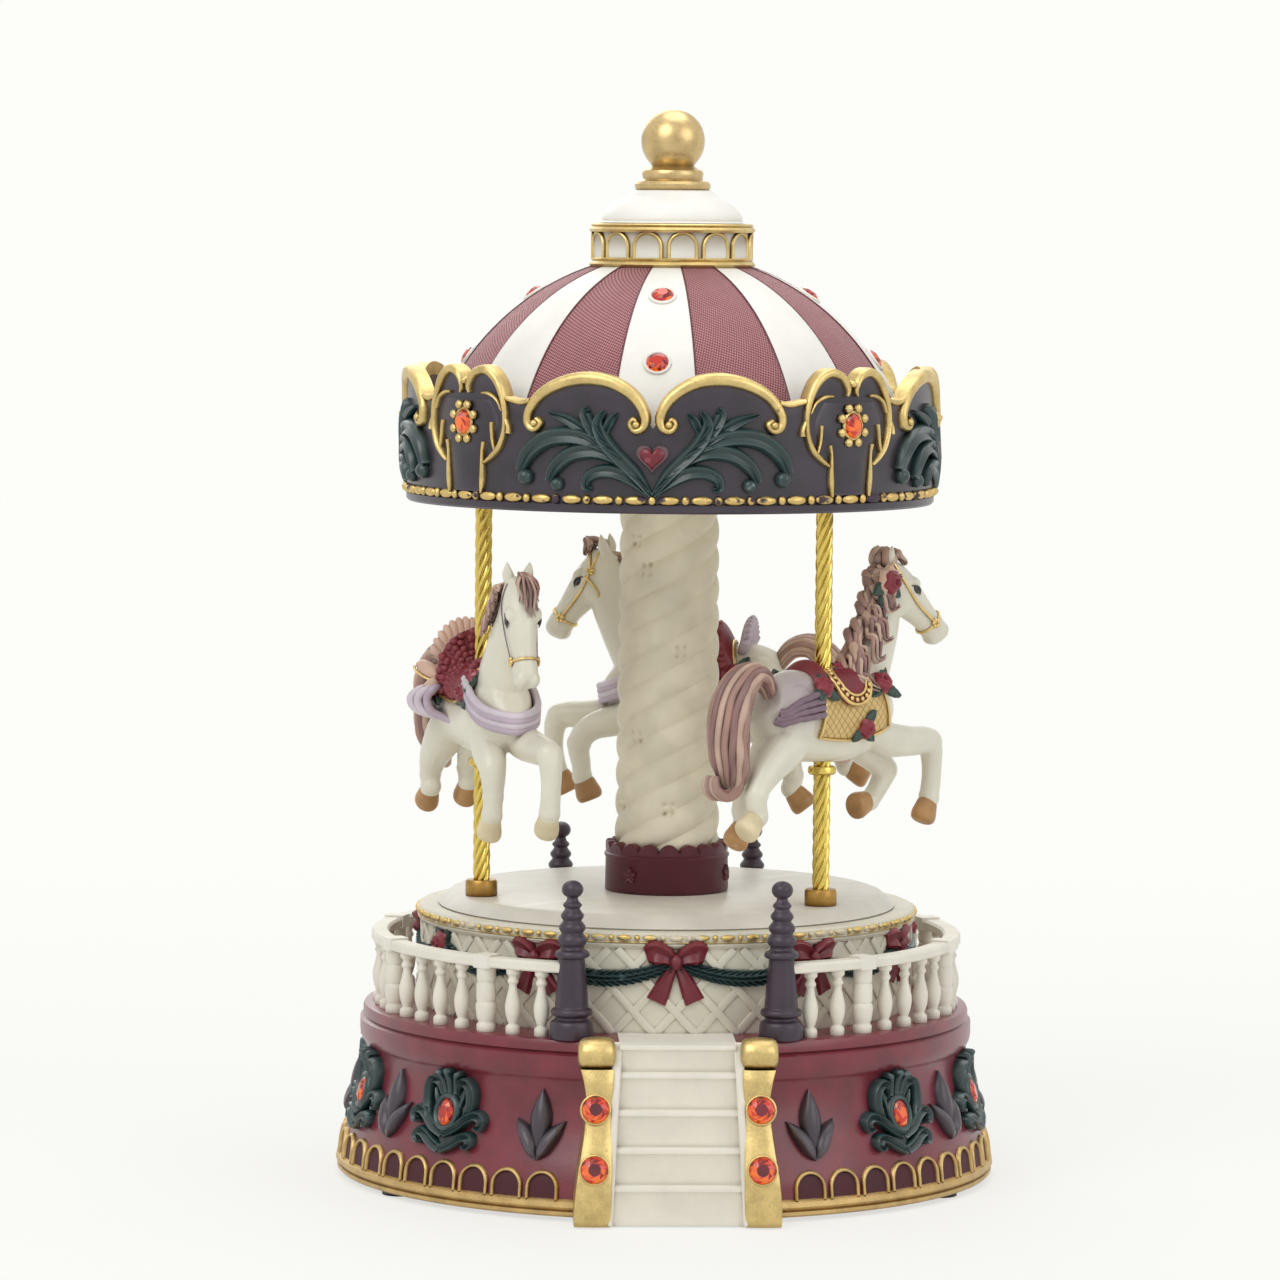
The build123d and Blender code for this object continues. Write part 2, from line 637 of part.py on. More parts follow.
def lobe(radius, top):
    """Round-headed lobe of the valance edge, a bar pointing out along +X."""
    length = 4 * VALANCE_WALL
    return cross_bar(radius, VALANCE_R - length, VALANCE_R + length / 2, 0, CEILING_Z + top - radius)


def dome_ball(radius):
    return Pos(0, 0, DOME_CENTRE_Z) * Sphere(radius)


def canopy_dome():
    shell = dome_ball(DOME_R) - dome_ball(DOME_R - DOME_T)
    return shell & bar(DOME_R, CEILING_TOP_Z, GALLERY_Z)


def stone(radius):
    """Round cut stone: a flat back on the YZ plane, its face towards +X."""
    return turned_stone(radius, 0.35 * radius, 0.75 * radius)


def turned_stone(radius, girdle, height):
    outline = [(0, -girdle), (radius, -girdle), (radius, girdle), (0.55 * radius, height), (0, height)]
    return Rot(0, 90, 0) * turned_outline(outline)


def dome_gems():
    gem = stone(DOME_GEM_R)
    gems = []
    for turn in canopy_turns(0):
        for elevation in DOME_GEM_ELEVATIONS:
            seat = Pos(0, 0, DOME_CENTRE_Z) * Rot(0, 0, turn) * Rot(0, -elevation, 0) * Pos(DOME_R, 0, 0)
            gems.append(seat * gem - dome_ball(DOME_R))
    return gems


def valance_gems():
    gem = stone(VALANCE_GEM_R)
    wall = bar(VALANCE_R, CEILING_Z - VALANCE_DROP, CEILING_Z + CARTOUCHE_TOP)
    places = [(turn, HEART_GEM_Z) for turn in canopy_turns(0)]
    places += [(turn, CARTOUCHE_GEM_Z) for turn in canopy_turns(180 / CANOPY_FOLD)]
    return [radial(Pos(VALANCE_R, 0, CEILING_Z + height) * gem, turn) - wall for turn, height in places]


def gallery():
    return tube(GALLERY_R, GALLERY_R - GALLERY_WALL, GALLERY_Z, CAP_Z)


def canopy_cap():
    shoulder = ((CAP_R + CAP_TOP_R) / 2 + 1.6, CAP_Z + 0.55 * CAP_H)
    return turned([
        Polyline((STEM_R + SNUG, CAP_Z), (CAP_R, CAP_Z)),
        ThreePointArc((CAP_R, CAP_Z), shoulder, (CAP_TOP_R, FINIAL_Z)),
        Polyline((CAP_TOP_R, FINIAL_Z), (STEM_R + SNUG, FINIAL_Z), (STEM_R + SNUG, CAP_Z)),
    ])


def finial():
    step_r = 0.78 * FINIAL_RING_R
    neck_z = FINIAL_Z + 2 * FINIAL_RING_H
    ball_z = neck_z + sqrt(FINIAL_BALL_R**2 - FINIAL_NECK_R**2)
    base = bar(STEM_R, FINIAL_Z - STEM_H, FINIAL_Z) + bar(FINIAL_RING_R, FINIAL_Z, FINIAL_Z + FINIAL_RING_H)
    base += bar(step_r, FINIAL_Z + FINIAL_RING_H, neck_z)
    return base + Pos(0, 0, ball_z) * Sphere(FINIAL_BALL_R)


# Winding key and ratchet

def winding_key():
    lobe_z = KEY_FOOT_Z + KEY_LOBE_R
    lobes = Part()
    for side in (1, -1):
        ring = Cylinder(KEY_LOBE_R, KEY_T) - Cylinder(KEY_HOLE_R, KEY_T)
        lobes += Pos(side * KEY_LOBE_X, 0, lobe_z) * Rot(90, 0, 0) * ring
    hub = bar(KEY_HUB_R, KEY_FOOT_Z + 1, COVER_Z - 1)
    return lobes + hub - bar(ARBOR_R + SNUG, KEY_FOOT_Z, COVER_Z)


def ratchet_outline():
    points = []
    for k in range(RATCHET_TEETH):
        angle = 360 * k / RATCHET_TEETH
        points += [polar(RATCHET_R, angle), polar(0.8 * RATCHET_R, angle + 2)]
    return make_face(Polyline(*points, close=True))


def winding_arbor():
    ratchet = Pos(0, 0, BEDPLATE_Z + 0.3) * extrude(ratchet_outline(), RATCHET_T)
    return bar(ARBOR_R, KEY_FOOT_Z + 4, BARREL_TOP_Z - 0.4) + ratchet


def click_spring():
    """Flat spring beside the ratchet, clear of its tips by a little."""
    near = RATCHET_R + 0.25
    top = BEDPLATE_Z + 0.3 + RATCHET_T
    foot = block(-13, -10, near - 1.5, near + 2.5, BEDPLATE_Z, top)
    return foot + block(-10, 0.5, near, near + 0.4, BEDPLATE_Z + 0.3, top)


# Spring barrel and its drive

def crown_teeth():
    """Teeth standing on the barrel flange; a gap between two of them faces +X."""
    pitch = pi * CROWN_MODULE
    tall = 2.25 * CROWN_MODULE
    section = make_face(Plane.YZ * Polyline(
        (-0.27 * pitch, 0), (0.27 * pitch, 0), (0.1 * pitch, tall), (-0.1 * pitch, tall), close=True))
    tooth = Pos(CROWN_R - CROWN_FACE / 2, 0, CROWN_Z) * extrude(section, CROWN_FACE)
    return [radial(tooth, 360 * (k + 0.5) / CROWN_TEETH) for k in range(CROWN_TEETH)]


def spring_barrel():
    inner = BARREL_R - BARREL_WALL
    cup = bar(BARREL_R, BARREL_Z, BARREL_TOP_Z) - bar(inner, BARREL_Z + BARREL_WALL, BARREL_TOP_Z)
    cup += tube(CROWN_R + CROWN_FACE / 2, inner + BARREL_WALL / 2, CROWN_Z - CROWN_PLATE_T, CROWN_Z)
    cup += crown_teeth()
    return cup - bar(ARBOR_R + RUNNING, BARREL_Z, BARREL_Z + BARREL_WALL)


def barrel_lid():
    lid = bar(BARREL_R, BARREL_TOP_Z, LID_TOP_Z) + bar(LID_BOSS_R, LID_TOP_Z, LID_TOP_Z + LID_BOSS_H)
    return lid - bar(ROD_R + SNUG, ROD_FOOT_Z, LID_TOP_Z + LID_BOSS_H)


def spiral_edges(start_r, halves):
    """Half circles that grow by half a pitch each, from the inside out."""
    ends = [(-1) ** k * (start_r + k * SPRING_PITCH / 2) for k in range(halves + 1)]
    arcs = []
    for k, (x0, x1) in enumerate(zip(ends, ends[1:])):
        bow = (-1) ** k * abs(x1 - x0) / 2
        arcs.append(ThreePointArc((x0, 0), ((x0 + x1) / 2, bow), (x1, 0)))
    return arcs, ends[0], ends[-1]


def mainspring():
    start = ARBOR_R + 0.9
    room = BARREL_R - BARREL_WALL - 0.6 - SPRING_T - start
    halves = int(2 * room / SPRING_PITCH)
    inside, x0, x1 = spiral_edges(start, halves)
    outside, x2, x3 = spiral_edges(start + SPRING_T, halves)
    strip = make_face(Curve(inside + outside + [Line((x0, 0), (x2, 0)), Line((x1, 0), (x3, 0))]))
    bottom = BARREL_Z + BARREL_WALL + 0.3
    return Pos(0, 0, bottom) * extrude(strip, BARREL_TOP_Z - 0.5 - bottom)


# Gear train: arbors along X at the height TRAIN_Z, and the upright governor

def gear(teeth, module, width, root_share, tip_share, facing, gap):
    """Wheel along X from the origin; a tooth, or a gap, is centred on the angle facing from +Y to +Z."""
    pitch_r = teeth * module / 2
    step = 360 / teeth
    first = facing + (step / 2 if gap else 0)
    points = []
    for k in range(teeth):
        centre = first + k * step
        for radius, turn in ((pitch_r - 1.2 * module, -root_share), (pitch_r + 0.9 * module, -tip_share),
                             (pitch_r + 0.9 * module, tip_share), (pitch_r - 1.2 * module, root_share)):
            points.append(polar(radius, centre + turn * step / 2))
    return extrude(make_face(Plane.YZ * Polyline(*points, close=True)), width)


def cylinder_arbor():
    start = CROWN_R - PINION_T / 2
    end = OUTER_BRACKET_X + BRACKET_T + 0.4
    pinion = Pos(start, 0, TRAIN_Z) * gear(PINION_TEETH, CROWN_MODULE, PINION_T, 0.46, 0.16, -90, False)
    return cross_bar(TRAIN_ARBOR_R, start - 0.3, end) + pinion


def cylinder_wheel():
    wheel = gear(CYLINDER_TEETH, TRAIN_MODULE, WHEEL_T, 0.52, 0.18, 180, True)
    bore = cross_bar(TRAIN_ARBOR_R + SNUG, CYLINDER_WHEEL_X, CYLINDER_WHEEL_X + WHEEL_T)
    return Pos(CYLINDER_WHEEL_X, 0, TRAIN_Z) * wheel - bore


def pin_cylinder():
    body = cross_bar(CYLINDER_R, CYLINDER_X, CYLINDER_X + CYLINDER_L)
    pin = Pos(0, 0, CYLINDER_R - PIN_H) * Cylinder(PIN_R, 2 * PIN_H, align=LOWER)
    pins = []
    for k in range(NOTES * PINS_PER_NOTE):
        x = CYLINDER_X + (k % NOTES + 0.5) * CYLINDER_L / NOTES
        pins.append(Pos(x, 0, TRAIN_Z) * Rot(137.5 * k, 0, 0) * pin)
    return body + pins - cross_bar(TRAIN_ARBOR_R + SNUG, CYLINDER_X, CYLINDER_X + CYLINDER_L)


def second_bracket_x():
    return WORM_WHEEL_X - GOVERNOR_POST_W / 2 - BRACKET_T


def second_arbor():
    start = second_bracket_x() - 0.4
    end = OUTER_BRACKET_X + BRACKET_T + 0.4
    pinion = gear(SECOND_TEETH, TRAIN_MODULE, PINION_T, 0.44, 0.16, 0, False)
    wheel = gear(WORM_WHEEL_TEETH, WORM_MODULE, 0.8, 0.5, 0.18, 180, True)
    arbor = cross_bar(TRAIN_ARBOR_R, start, end, SECOND_Y)
    arbor += Pos(CYLINDER_WHEEL_X - (PINION_T - WHEEL_T) / 2, SECOND_Y, TRAIN_Z) * pinion
    return arbor + Pos(WORM_WHEEL_X - 0.4, SECOND_Y, TRAIN_Z) * wheel


def governor_worm():
    """Right-hand screw whose thread meets the worm wheel at its own height on the +Y side."""
    path = Helix(pitch=WORM_LEAD, height=WORM_TURNS * WORM_LEAD, radius=WORM_CORE_R)
    tip = WORM_R + 0.8 * WORM_MODULE - WORM_CORE_R
    ridge = Polyline((-0.2, -0.28 * WORM_LEAD), (tip, -0.1 * WORM_LEAD), (tip, 0.1 * WORM_LEAD),
                     (-0.2, 0.28 * WORM_LEAD), close=True)
    section = Plane(origin=path @ 0, x_dir=(1, 0, 0), z_dir=path % 0) * make_face(ridge)
    thread = sweep(section, path, is_frenet=True)
    foot = TRAIN_Z - WORM_LEAD * (WORM_TURNS / 2 + 0.25)
    arbor = bar(WORM_CORE_R, BEDPLATE_Z + 0.3, GOVERNOR_ARM_Z - 0.3)
    pivots = bar(PIVOT_R, BEDPLATE_Z - PIVOT_L, GOVERNOR_ARM_Z + PIVOT_L)
    return Pos(WORM_WHEEL_X, WORM_Y, 0) * (arbor + Pos(0, 0, foot) * thread + pivots)


def governor_fan():
    vanes = Pos(0, 0, FAN_Z) * Box(2 * FAN_R, 0.6, FAN_H, align=LOWER) + bar(1.7, FAN_Z, FAN_Z + FAN_H)
    return Pos(WORM_WHEEL_X, WORM_Y, 0) * (vanes - bar(WORM_CORE_R + SNUG, FAN_Z, FAN_Z + FAN_H))


# Plates, brackets and comb

def governor_post_y():
    """Front and back faces of the governor post."""
    front = WORM_Y - FAN_R - PASSING
    return front - 3, front


def bedplate_limits():
    back = -(CROWN_R + CROWN_FACE / 2 + 1)
    front = OUTER_BRACKET_X + BRACKET_T + 2
    return back, front, governor_post_y()[0] - 1, comb_end() + 1.5


def bedplate_screw_places():
    x0, x1, y0, y1 = bedplate_limits()
    return [(x0 + 4, y0 + 4), (x0 + 4, y1 - 4), (x1 - 4, y1 - 4)]


def cover_plate():
    cover = bar(COVER_R, COVER_Z, COVER_TOP_Z) - bar(ARBOR_R + 0.9, COVER_Z, COVER_TOP_Z)
    for x, y in cover_screw_places() + bedplate_screw_places():
        cover -= Pos(x, y) * bar(SCREW_R + SNUG, COVER_Z, COVER_TOP_Z)
    return cover


def cover_screws():
    return [Pos(x, y, COVER_Z) * screw(2.1, 1.2, SCREW_R, COVER_T + 6) for x, y in cover_screw_places()]


def bedplate():
    x0, x1, y0, y1 = bedplate_limits()
    plate = fillet(block(x0, x1, y0, y1, COVER_TOP_Z, BEDPLATE_Z).edges().filter_by(Axis.Z), 3)
    plate &= bar(COVER_R, COVER_TOP_Z, BEDPLATE_Z)
    plate -= bar(ARBOR_R + RUNNING, COVER_TOP_Z, BEDPLATE_Z)
    wheel_r = CYLINDER_TEETH * TRAIN_MODULE / 2 + TRAIN_MODULE + PASSING
    slot = cross_bar(wheel_r, CYLINDER_WHEEL_X - PASSING, CYLINDER_WHEEL_X + WHEEL_T + PASSING)
    plate -= slot
    plate -= Pos(WORM_WHEEL_X, WORM_Y) * bar(PIVOT_R + RUNNING, BEDPLATE_Z - PIVOT_L - 0.2, BEDPLATE_Z)
    for x, y in bedplate_screw_places():
        plate -= Pos(x, y) * bar(SCREW_R + SNUG, COVER_TOP_Z, BEDPLATE_Z)
    return plate


def arbor_brackets():
    """Three upright plates that carry the ends of the two arbors."""
    top = TRAIN_Z + 3
    places = [(INNER_BRACKET_X, -4, 4, (0,)),
              (second_bracket_x(), SECOND_Y - 2.6, SECOND_Y + 2.6, (SECOND_Y,)),
              (OUTER_BRACKET_X, SECOND_Y - 3, 4, (0, SECOND_Y))]
    plates = []
    for x, y0, y1, arbors in places:
        plate = block(x, x + BRACKET_T, y0, y1, BEDPLATE_Z, top)
        for y in arbors:
            plate -= cross_bar(TRAIN_ARBOR_R + RUNNING, x, x + BRACKET_T, y)
        plates.append(plate)
    return plates


def governor_bracket():
    back, front = governor_post_y()
    x0 = WORM_WHEEL_X - GOVERNOR_POST_W / 2
    x1 = WORM_WHEEL_X + GOVERNOR_POST_W / 2
    arm_top = GOVERNOR_ARM_Z + PIVOT_L + 0.3
    frame = block(x0, x1, back, front, BEDPLATE_Z, arm_top)
    frame += block(x0, x1, back, WORM_Y + 2, GOVERNOR_ARM_Z, arm_top)
    return frame - Pos(WORM_WHEEL_X, WORM_Y) * bar(PIVOT_R + RUNNING, GOVERNOR_ARM_Z, arm_top)


def comb_tip():
    return CYLINDER_R + PIN_H + COMB_GAP


def comb_end():
    return comb_tip() + COMB_L


def comb_screw_places():
    return [(CYLINDER_X + share * CYLINDER_L, comb_end() - COMB_ROOT / 2) for share in (0.25, 0.75)]


def comb():
    under = TRAIN_Z - COMB_T / 2
    plate = block(CYLINDER_X, CYLINDER_X + CYLINDER_L, comb_tip(), comb_end(), under, under + COMB_T)
    pitch = CYLINDER_L / NOTES
    slots = []
    for k in range(1, NOTES):
        x = CYLINDER_X + k * pitch
        slots.append(block(x - 0.13, x + 0.13, comb_tip(), comb_end() - COMB_ROOT, under, under + COMB_T))
    holes = [Pos(x, y) * bar(SCREW_R + SNUG, under, under + COMB_T) for x, y in comb_screw_places()]
    return plate - slots - holes


def comb_block():
    under = TRAIN_Z - COMB_T / 2
    foot = block(CYLINDER_X, CYLINDER_X + CYLINDER_L, comb_end() - COMB_ROOT, comb_end(), BEDPLATE_Z, under)
    holes = [Pos(x, y) * bar(SCREW_R + SNUG, under - 5, under) for x, y in comb_screw_places()]
    return foot - holes


def movement_screws():
    """Screws of the bedplate, from below, and of the comb, from above."""
    upward = screw(2.1, 1.2, SCREW_R, COVER_T + BEDPLATE_T)
    downward = Rot(180, 0, 0) * screw(2.1, 1.0, SCREW_R, COMB_T + 4)
    comb_top = TRAIN_Z + COMB_T / 2
    screws = [Pos(x, y, COVER_Z) * upward for x, y in bedplate_screw_places()]
    return screws + [Pos(x, y, comb_top) * downward for x, y in comb_screw_places()]


def save(name, shapes):
    """One node: a single piece, or a group of like pieces."""
    pieces = shapes if isinstance(shapes, list) else [shapes]
    solids = [solid for piece in pieces for solid in piece.solids()]
    export_step(solids[0] if len(solids) == 1 else Compound(solids), f"parts/{name}.step")


def main():
    os.makedirs("parts", exist_ok=True)
    outer = base_block()
    flight = stairs(outer)
    scrolls = stair_scrolls(outer, flight)
    gems = stair_gems(scrolls, outer)
    about = Rot(0, 0, 180)
    posts = newel_posts()
    nodes = {
        "base_shell": base_shell(outer),
        "foot_pads": foot_pads(),
        "medallions": medallions(outer),
        "base_gems": base_gems(),
        "stairs_front": flight,
        "stairs_rear": about * flight,
        "stair_scrolls": scrolls + [about * scroll for scroll in scrolls],
        "stair_gems": gems + [about * gem for gem in gems],
        "newel_posts": posts,
        "rail_right": rail(1, posts),
        "rail_left": rail(-1, posts),
        "balusters": fence_uprights(BALUSTER_R, False),
        "rail_piers": fence_uprights(PIER_R, True),
        "lattice_drum": lattice_drum(),
        "shaft_bush": shaft_bush(),
        "turntable": turntable(),
        "centre_rod": centre_rod(),
        "turntable_nut": hexagon_nut(FLOOR_Z),
        "canopy_nut": hexagon_nut(CEILING_TOP_Z),
        "column": column(),
        "column_collar": column_collar(),
        "pole_ferrules": pole_rings(FERRULE_R, FLOOR_Z, FERRULE_H),
        "belly_collars": pole_rings(BELLY_COLLAR_R, BELLY_Z - BELLY_COLLAR_H, BELLY_COLLAR_H),
        "canopy_ceiling": canopy_ceiling(),
        "valance": valance(),
        "valance_gems": valance_gems(),
        "canopy_dome": canopy_dome(),
        "dome_gems": dome_gems(),
        "gallery": gallery(),
        "canopy_cap": canopy_cap(),
        "finial": finial(),
        "winding_key": winding_key(),
        "winding_arbor": winding_arbor(),
        "click_spring": click_spring(),
        "spring_barrel": spring_barrel(),
        "barrel_lid": barrel_lid(),
        "mainspring": mainspring(),
        "cylinder_arbor": cylinder_arbor(),
        "cylinder_wheel": cylinder_wheel(),
        "pin_cylinder": pin_cylinder(),
        "second_arbor": second_arbor(),
        "governor_worm": governor_worm(),
        "governor_fan": governor_fan(),
        "cover_plate": cover_plate(),
        "cover_screws": cover_screws(),
        "bedplate": bedplate(),
        "arbor_brackets": arbor_brackets(),
        "governor_bracket": governor_bracket(),
        "comb": comb(),
        "comb_block": comb_block(),
        "movement_screws": movement_screws(),
    }
    for k, (angle, legs, head_pose) in enumerate(zip(POLE_ANGLES, HORSE_LEGS, HEAD_POSES), start=1):
        nodes[f"pole_{k}"] = pole(angle)
        nodes[f"horse_{k}"] = placed_horse(horse(legs, head_pose), angle)
    for name, shapes in nodes.items():
        save(name, shapes)


main()
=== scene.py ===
"""Looks of the wind-up carousel music box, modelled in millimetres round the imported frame."""

import json
from math import atan2, cos, exp, hypot, pi, radians, sin, sqrt

import bmesh
import bpy
from mathutils import Matrix, Vector


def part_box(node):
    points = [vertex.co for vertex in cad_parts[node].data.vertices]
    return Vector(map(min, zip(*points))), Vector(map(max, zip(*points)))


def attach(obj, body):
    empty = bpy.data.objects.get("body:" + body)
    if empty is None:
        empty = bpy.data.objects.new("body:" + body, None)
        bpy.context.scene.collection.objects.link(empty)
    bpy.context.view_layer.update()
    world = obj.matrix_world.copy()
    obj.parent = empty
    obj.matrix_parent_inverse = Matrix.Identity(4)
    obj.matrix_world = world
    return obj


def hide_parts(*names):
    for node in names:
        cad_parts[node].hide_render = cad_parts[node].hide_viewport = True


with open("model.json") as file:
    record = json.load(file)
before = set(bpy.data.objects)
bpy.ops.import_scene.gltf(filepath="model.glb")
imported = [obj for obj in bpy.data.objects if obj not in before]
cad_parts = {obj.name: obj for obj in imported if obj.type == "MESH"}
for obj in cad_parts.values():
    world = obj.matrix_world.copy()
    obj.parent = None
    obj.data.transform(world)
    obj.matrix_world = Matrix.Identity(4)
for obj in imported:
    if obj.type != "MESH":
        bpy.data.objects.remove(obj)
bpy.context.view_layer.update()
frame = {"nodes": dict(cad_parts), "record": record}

MM = 0.001
FRONT = -90.0         # the side that the photograph shows, about Z


def top(node):
    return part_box(node)[1].z / MM


def foot(node):
    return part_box(node)[0].z / MM


def reach(node):
    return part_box(node)[1].x / MM


def middle(node):
    low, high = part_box(node)
    return (low.x + high.x) / 2 / MM, (low.y + high.y) / 2 / MM


# Sizes that the frame gives, in millimetres
BASE_R = reach("base_shell")
BASE_FOOT = foot("base_shell")
DECK_Z = top("base_shell")
DRUM_R = reach("lattice_drum")
DRUM_TOP = top("lattice_drum")
TABLE_R = reach("turntable")
FLOOR_Z = top("turntable")
CEILING_Z = foot("canopy_ceiling")
VALANCE_R = reach("valance")
VALANCE_FOOT = foot("valance")
GALLERY_R = reach("gallery")
GALLERY_FOOT = foot("gallery")
CAP_FOOT = foot("canopy_cap")
FINIAL_FOOT = top("canopy_cap")
POLE_R = (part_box("pole_1")[1].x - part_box("pole_1")[0].x) / MM / 2
BELLY_Z = top("belly_collars")

# Base and steps; turns are degrees from the front
RIM_TOP = BASE_FOOT + 2.8
DECK_HOLE_R = 45.2
DECK_UNDER = 30.5
CAVITY_R = 55.5
BASE_WALL = ((BASE_R - 1.2, RIM_TOP), (64.2, 7.0), (63.3, 10.0), (62.0, 13.4), (60.7, 17.2), (59.8, 21.0),
             (59.5, 24.0), (59.8, 25.8), (60.5, 27.0), (60.9, 28.4), (60.9, 31.0))
FOOT_ARCHES = 54
ARCH_W = 6.0
ARCH_H = 5.0
STEPS_ROOM = 17.5                      # each side of a flight, degrees without foot arches
MEDALLION_Z = 18.3
MEDALLION_TURNS = (45, 76, 104, 135)
TULIP_TURNS = (25, 61, 90, 119, 155)
STEP_TOPS = (7.95, 14.9, 21.85, 28.8, DECK_Z)
STEP_TREAD = 1.55
STAIR_FOOT = 0.2
STAIR_FRONT = 68.4
STAIR_W = 25.7
LANDING_FRONT = 60.8                   # from the axis, as is the back
LANDING_BACK = 46.0
STAIR_NARROW = 0.2                     # of the outer side of the cheeks, for each step up
STEP_NARROW = 0.45                     # of the steps, each side, for each step up
SCROLL_X = 16.1
SCROLL_LEAN = 1.2
SCROLL_BACK = 59.0                     # from the axis
ROLL_OUT = 62.8                        # middle of the roll on a scroll, from the axis
ROLL_Z = 32.4

# Fence and drum
RAIL_R = 57.0
RAIL_TOP = top("rail_left")
RAIL_H = 2.0
RAIL_W = 3.5
RAIL_START = 20.5
RAIL_BAYS = 22
PIER_BAYS = (3, 8, 14, 19)
POST_X = 20.0
POST_GIRTH = 1.18
DRUM_WALL_R = DRUM_R - 1.1
LATTICE_COUNT = 38
BOW_COUNT = 11
FRONT_BOW_SIZE = 1.12

# Canopy: heights are above its bead row, runs go along the wall from the middle of a bay
CANOPY_TURN = -96.0
BEAD_Z = CEILING_Z + 0.6
HALF_BAY = 2 * pi * VALANCE_R / 8
VALANCE_T = 2.2
DOME_R = 49.4
DOME_Z = 133.7
STRIPE_TURN = 20.5

POLE_NODES = ("pole_1", "pole_2", "pole_3")


def flow(points, steps=8):
    """Smooth run through points of any number of coordinates."""
    last = len(points) - 1
    run = []
    for k in range(last):
        near = [points[max(k - 1, 0)], points[k], points[k + 1], points[min(k + 2, last)]]
        for s in range(steps):
            t = s / steps
            run.append(tuple(
                b + 0.5 * t * (c - a + t * (2 * a - 5 * b + 4 * c - d + t * (3 * (b - c) + d - a)))
                for a, b, c, d in zip(*near)))
    run.append(tuple(points[-1]))
    return run


def arc(x, y, radius, start, end, steps):
    turns = [radians(start + (end - start) * k / steps) for k in range(steps + 1)]
    return [(x + radius * cos(turn), y + radius * sin(turn)) for turn in turns]


def full_turn(count, start=0.0):
    """Angles of places evenly round a circle."""
    return [2 * pi * (k + start) / count for k in range(count)]


def between(run, place):
    """Second coordinate of a run of (place, value) points, read at one place."""
    for (a, low), (b, high) in zip(run, run[1:]):
        if a <= place <= b:
            return low + (high - low) * (place - a) / max(b - a, 1e-6)
    return run[0][1] if place < run[0][0] else run[-1][1]


# Places: functions that carry (across, up, out) or (x, y, z) points to the object

def on_wall(radius, turn, z):
    """A spot on a round wall; the radius may be a function of the height."""
    def place(p):
        across, up, out = p
        r = radius(z + up) if callable(radius) else radius
        angle = radians(turn) + across / r
        return (r + out) * cos(angle), (r + out) * sin(angle), z + up
    return place


def facing(origin, out):
    """A spot that faces out."""
    ahead = Vector(out).normalized()
    across = Vector((0, 0, 1)).cross(ahead).normalized()
    rise = ahead.cross(across)
    home = Vector(origin)
    return lambda p: tuple(home + (across * p[0] + rise * p[1] + ahead * p[2]))


def shifted(x, y, z=0.0, turn=0.0):
    move = Matrix.Translation((x, y, z)) @ Matrix.Rotation(radians(turn), 4, "Z")
    return lambda p: tuple(move @ Vector(p))


def scaled(place, across, up):
    """The same spot for a form made wider and taller by those factors."""
    return lambda p: place((across * p[0], up * p[1], p[2]))


def mirrored(place):
    return scaled(place, -1, 1)


def round_front(turn):
    """Turns a form made at the front of the object about the upright axis."""
    return shifted(0, 0, 0, turn)


class Form:
    """A mesh in the making: points in millimetres, faces, and the paint of each face."""

    def __init__(self):
        self.points = []
        self.faces = []
        self.paints = []

    def face(self, corners, paint):
        self.faces.append(corners)
        self.paints.append(paint)

    def rows(self, rows, paint=0, loop=False, place=None):
        """Skin between closed rows; loop joins the last row to the first, otherwise both ends are capped."""
        start = len(self.points)
        wide = len(rows[0])
        tall = len(rows)
        for row in rows:
            self.points += [place(p) for p in row] if place else row
        for j in range(tall if loop else tall - 1):
            low = start + j * wide
            high = start + (j + 1) % tall * wide
            for i in range(wide):
                k = (i + 1) % wide
                self.face((low + i, low + k, high + k, high + i), paint(i, j) if callable(paint) else paint)
        if not loop:
            ends = paint(0, 0) if callable(paint) else paint
            self.face(tuple(range(start, start + wide)), ends)
            self.face(tuple(range(start + (tall - 1) * wide, start + tall * wide)), ends)

    def piece(self, name, finishes, body, slot, *nodes, crease=38):
        """The mesh with its named finishes, as a piece that rides on a body and may stand for CAD nodes."""
        mesh = bpy.data.meshes.new(name)
        mesh.from_pydata([tuple(c * MM for c in p) for p in self.points], [], self.faces)
        for paint in finishes:
            mesh.materials.append(FINISH[paint])
        mesh.polygons.foreach_set("material_index", self.paints)
        work = bmesh.new()
        work.from_mesh(mesh)
        bmesh.ops.recalc_face_normals(work, faces=work.faces)
        work.to_mesh(mesh)
        work.free()
        mesh.shade_smooth()
        mesh.set_sharp_from_angle(angle=radians(crease))
        return shown(name, mesh, body, slot, *nodes)


def shown(name, mesh, body, slot, *nodes):
    item = bpy.data.objects.new(name, mesh)
    bpy.context.scene.collection.objects.link(item)
    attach(item, body)
    if nodes:
        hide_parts(*nodes)
    return item


# Shapes

ROUND = ((-1, 0), (-0.85, 0.55), (-0.5, 0.88), (0, 1), (0.5, 0.88), (0.85, 0.55), (1, 0))
VEINED = ((-1, 0), (-0.9, 0.6), (-0.62, 0.95), (-0.25, 0.72), (0, 0.62), (0.25, 0.72), (0.62, 0.95),
          (0.9, 0.6), (1, 0))
PLANK = ((-1, 0), (-1, 0.75), (-0.8, 1), (0.8, 1), (1, 0.75), (1, 0))
SLAT = ((-1, 0), (-0.88, 0.8), (-0.66, 1), (0.66, 1), (0.88, 0.8), (1, 0))


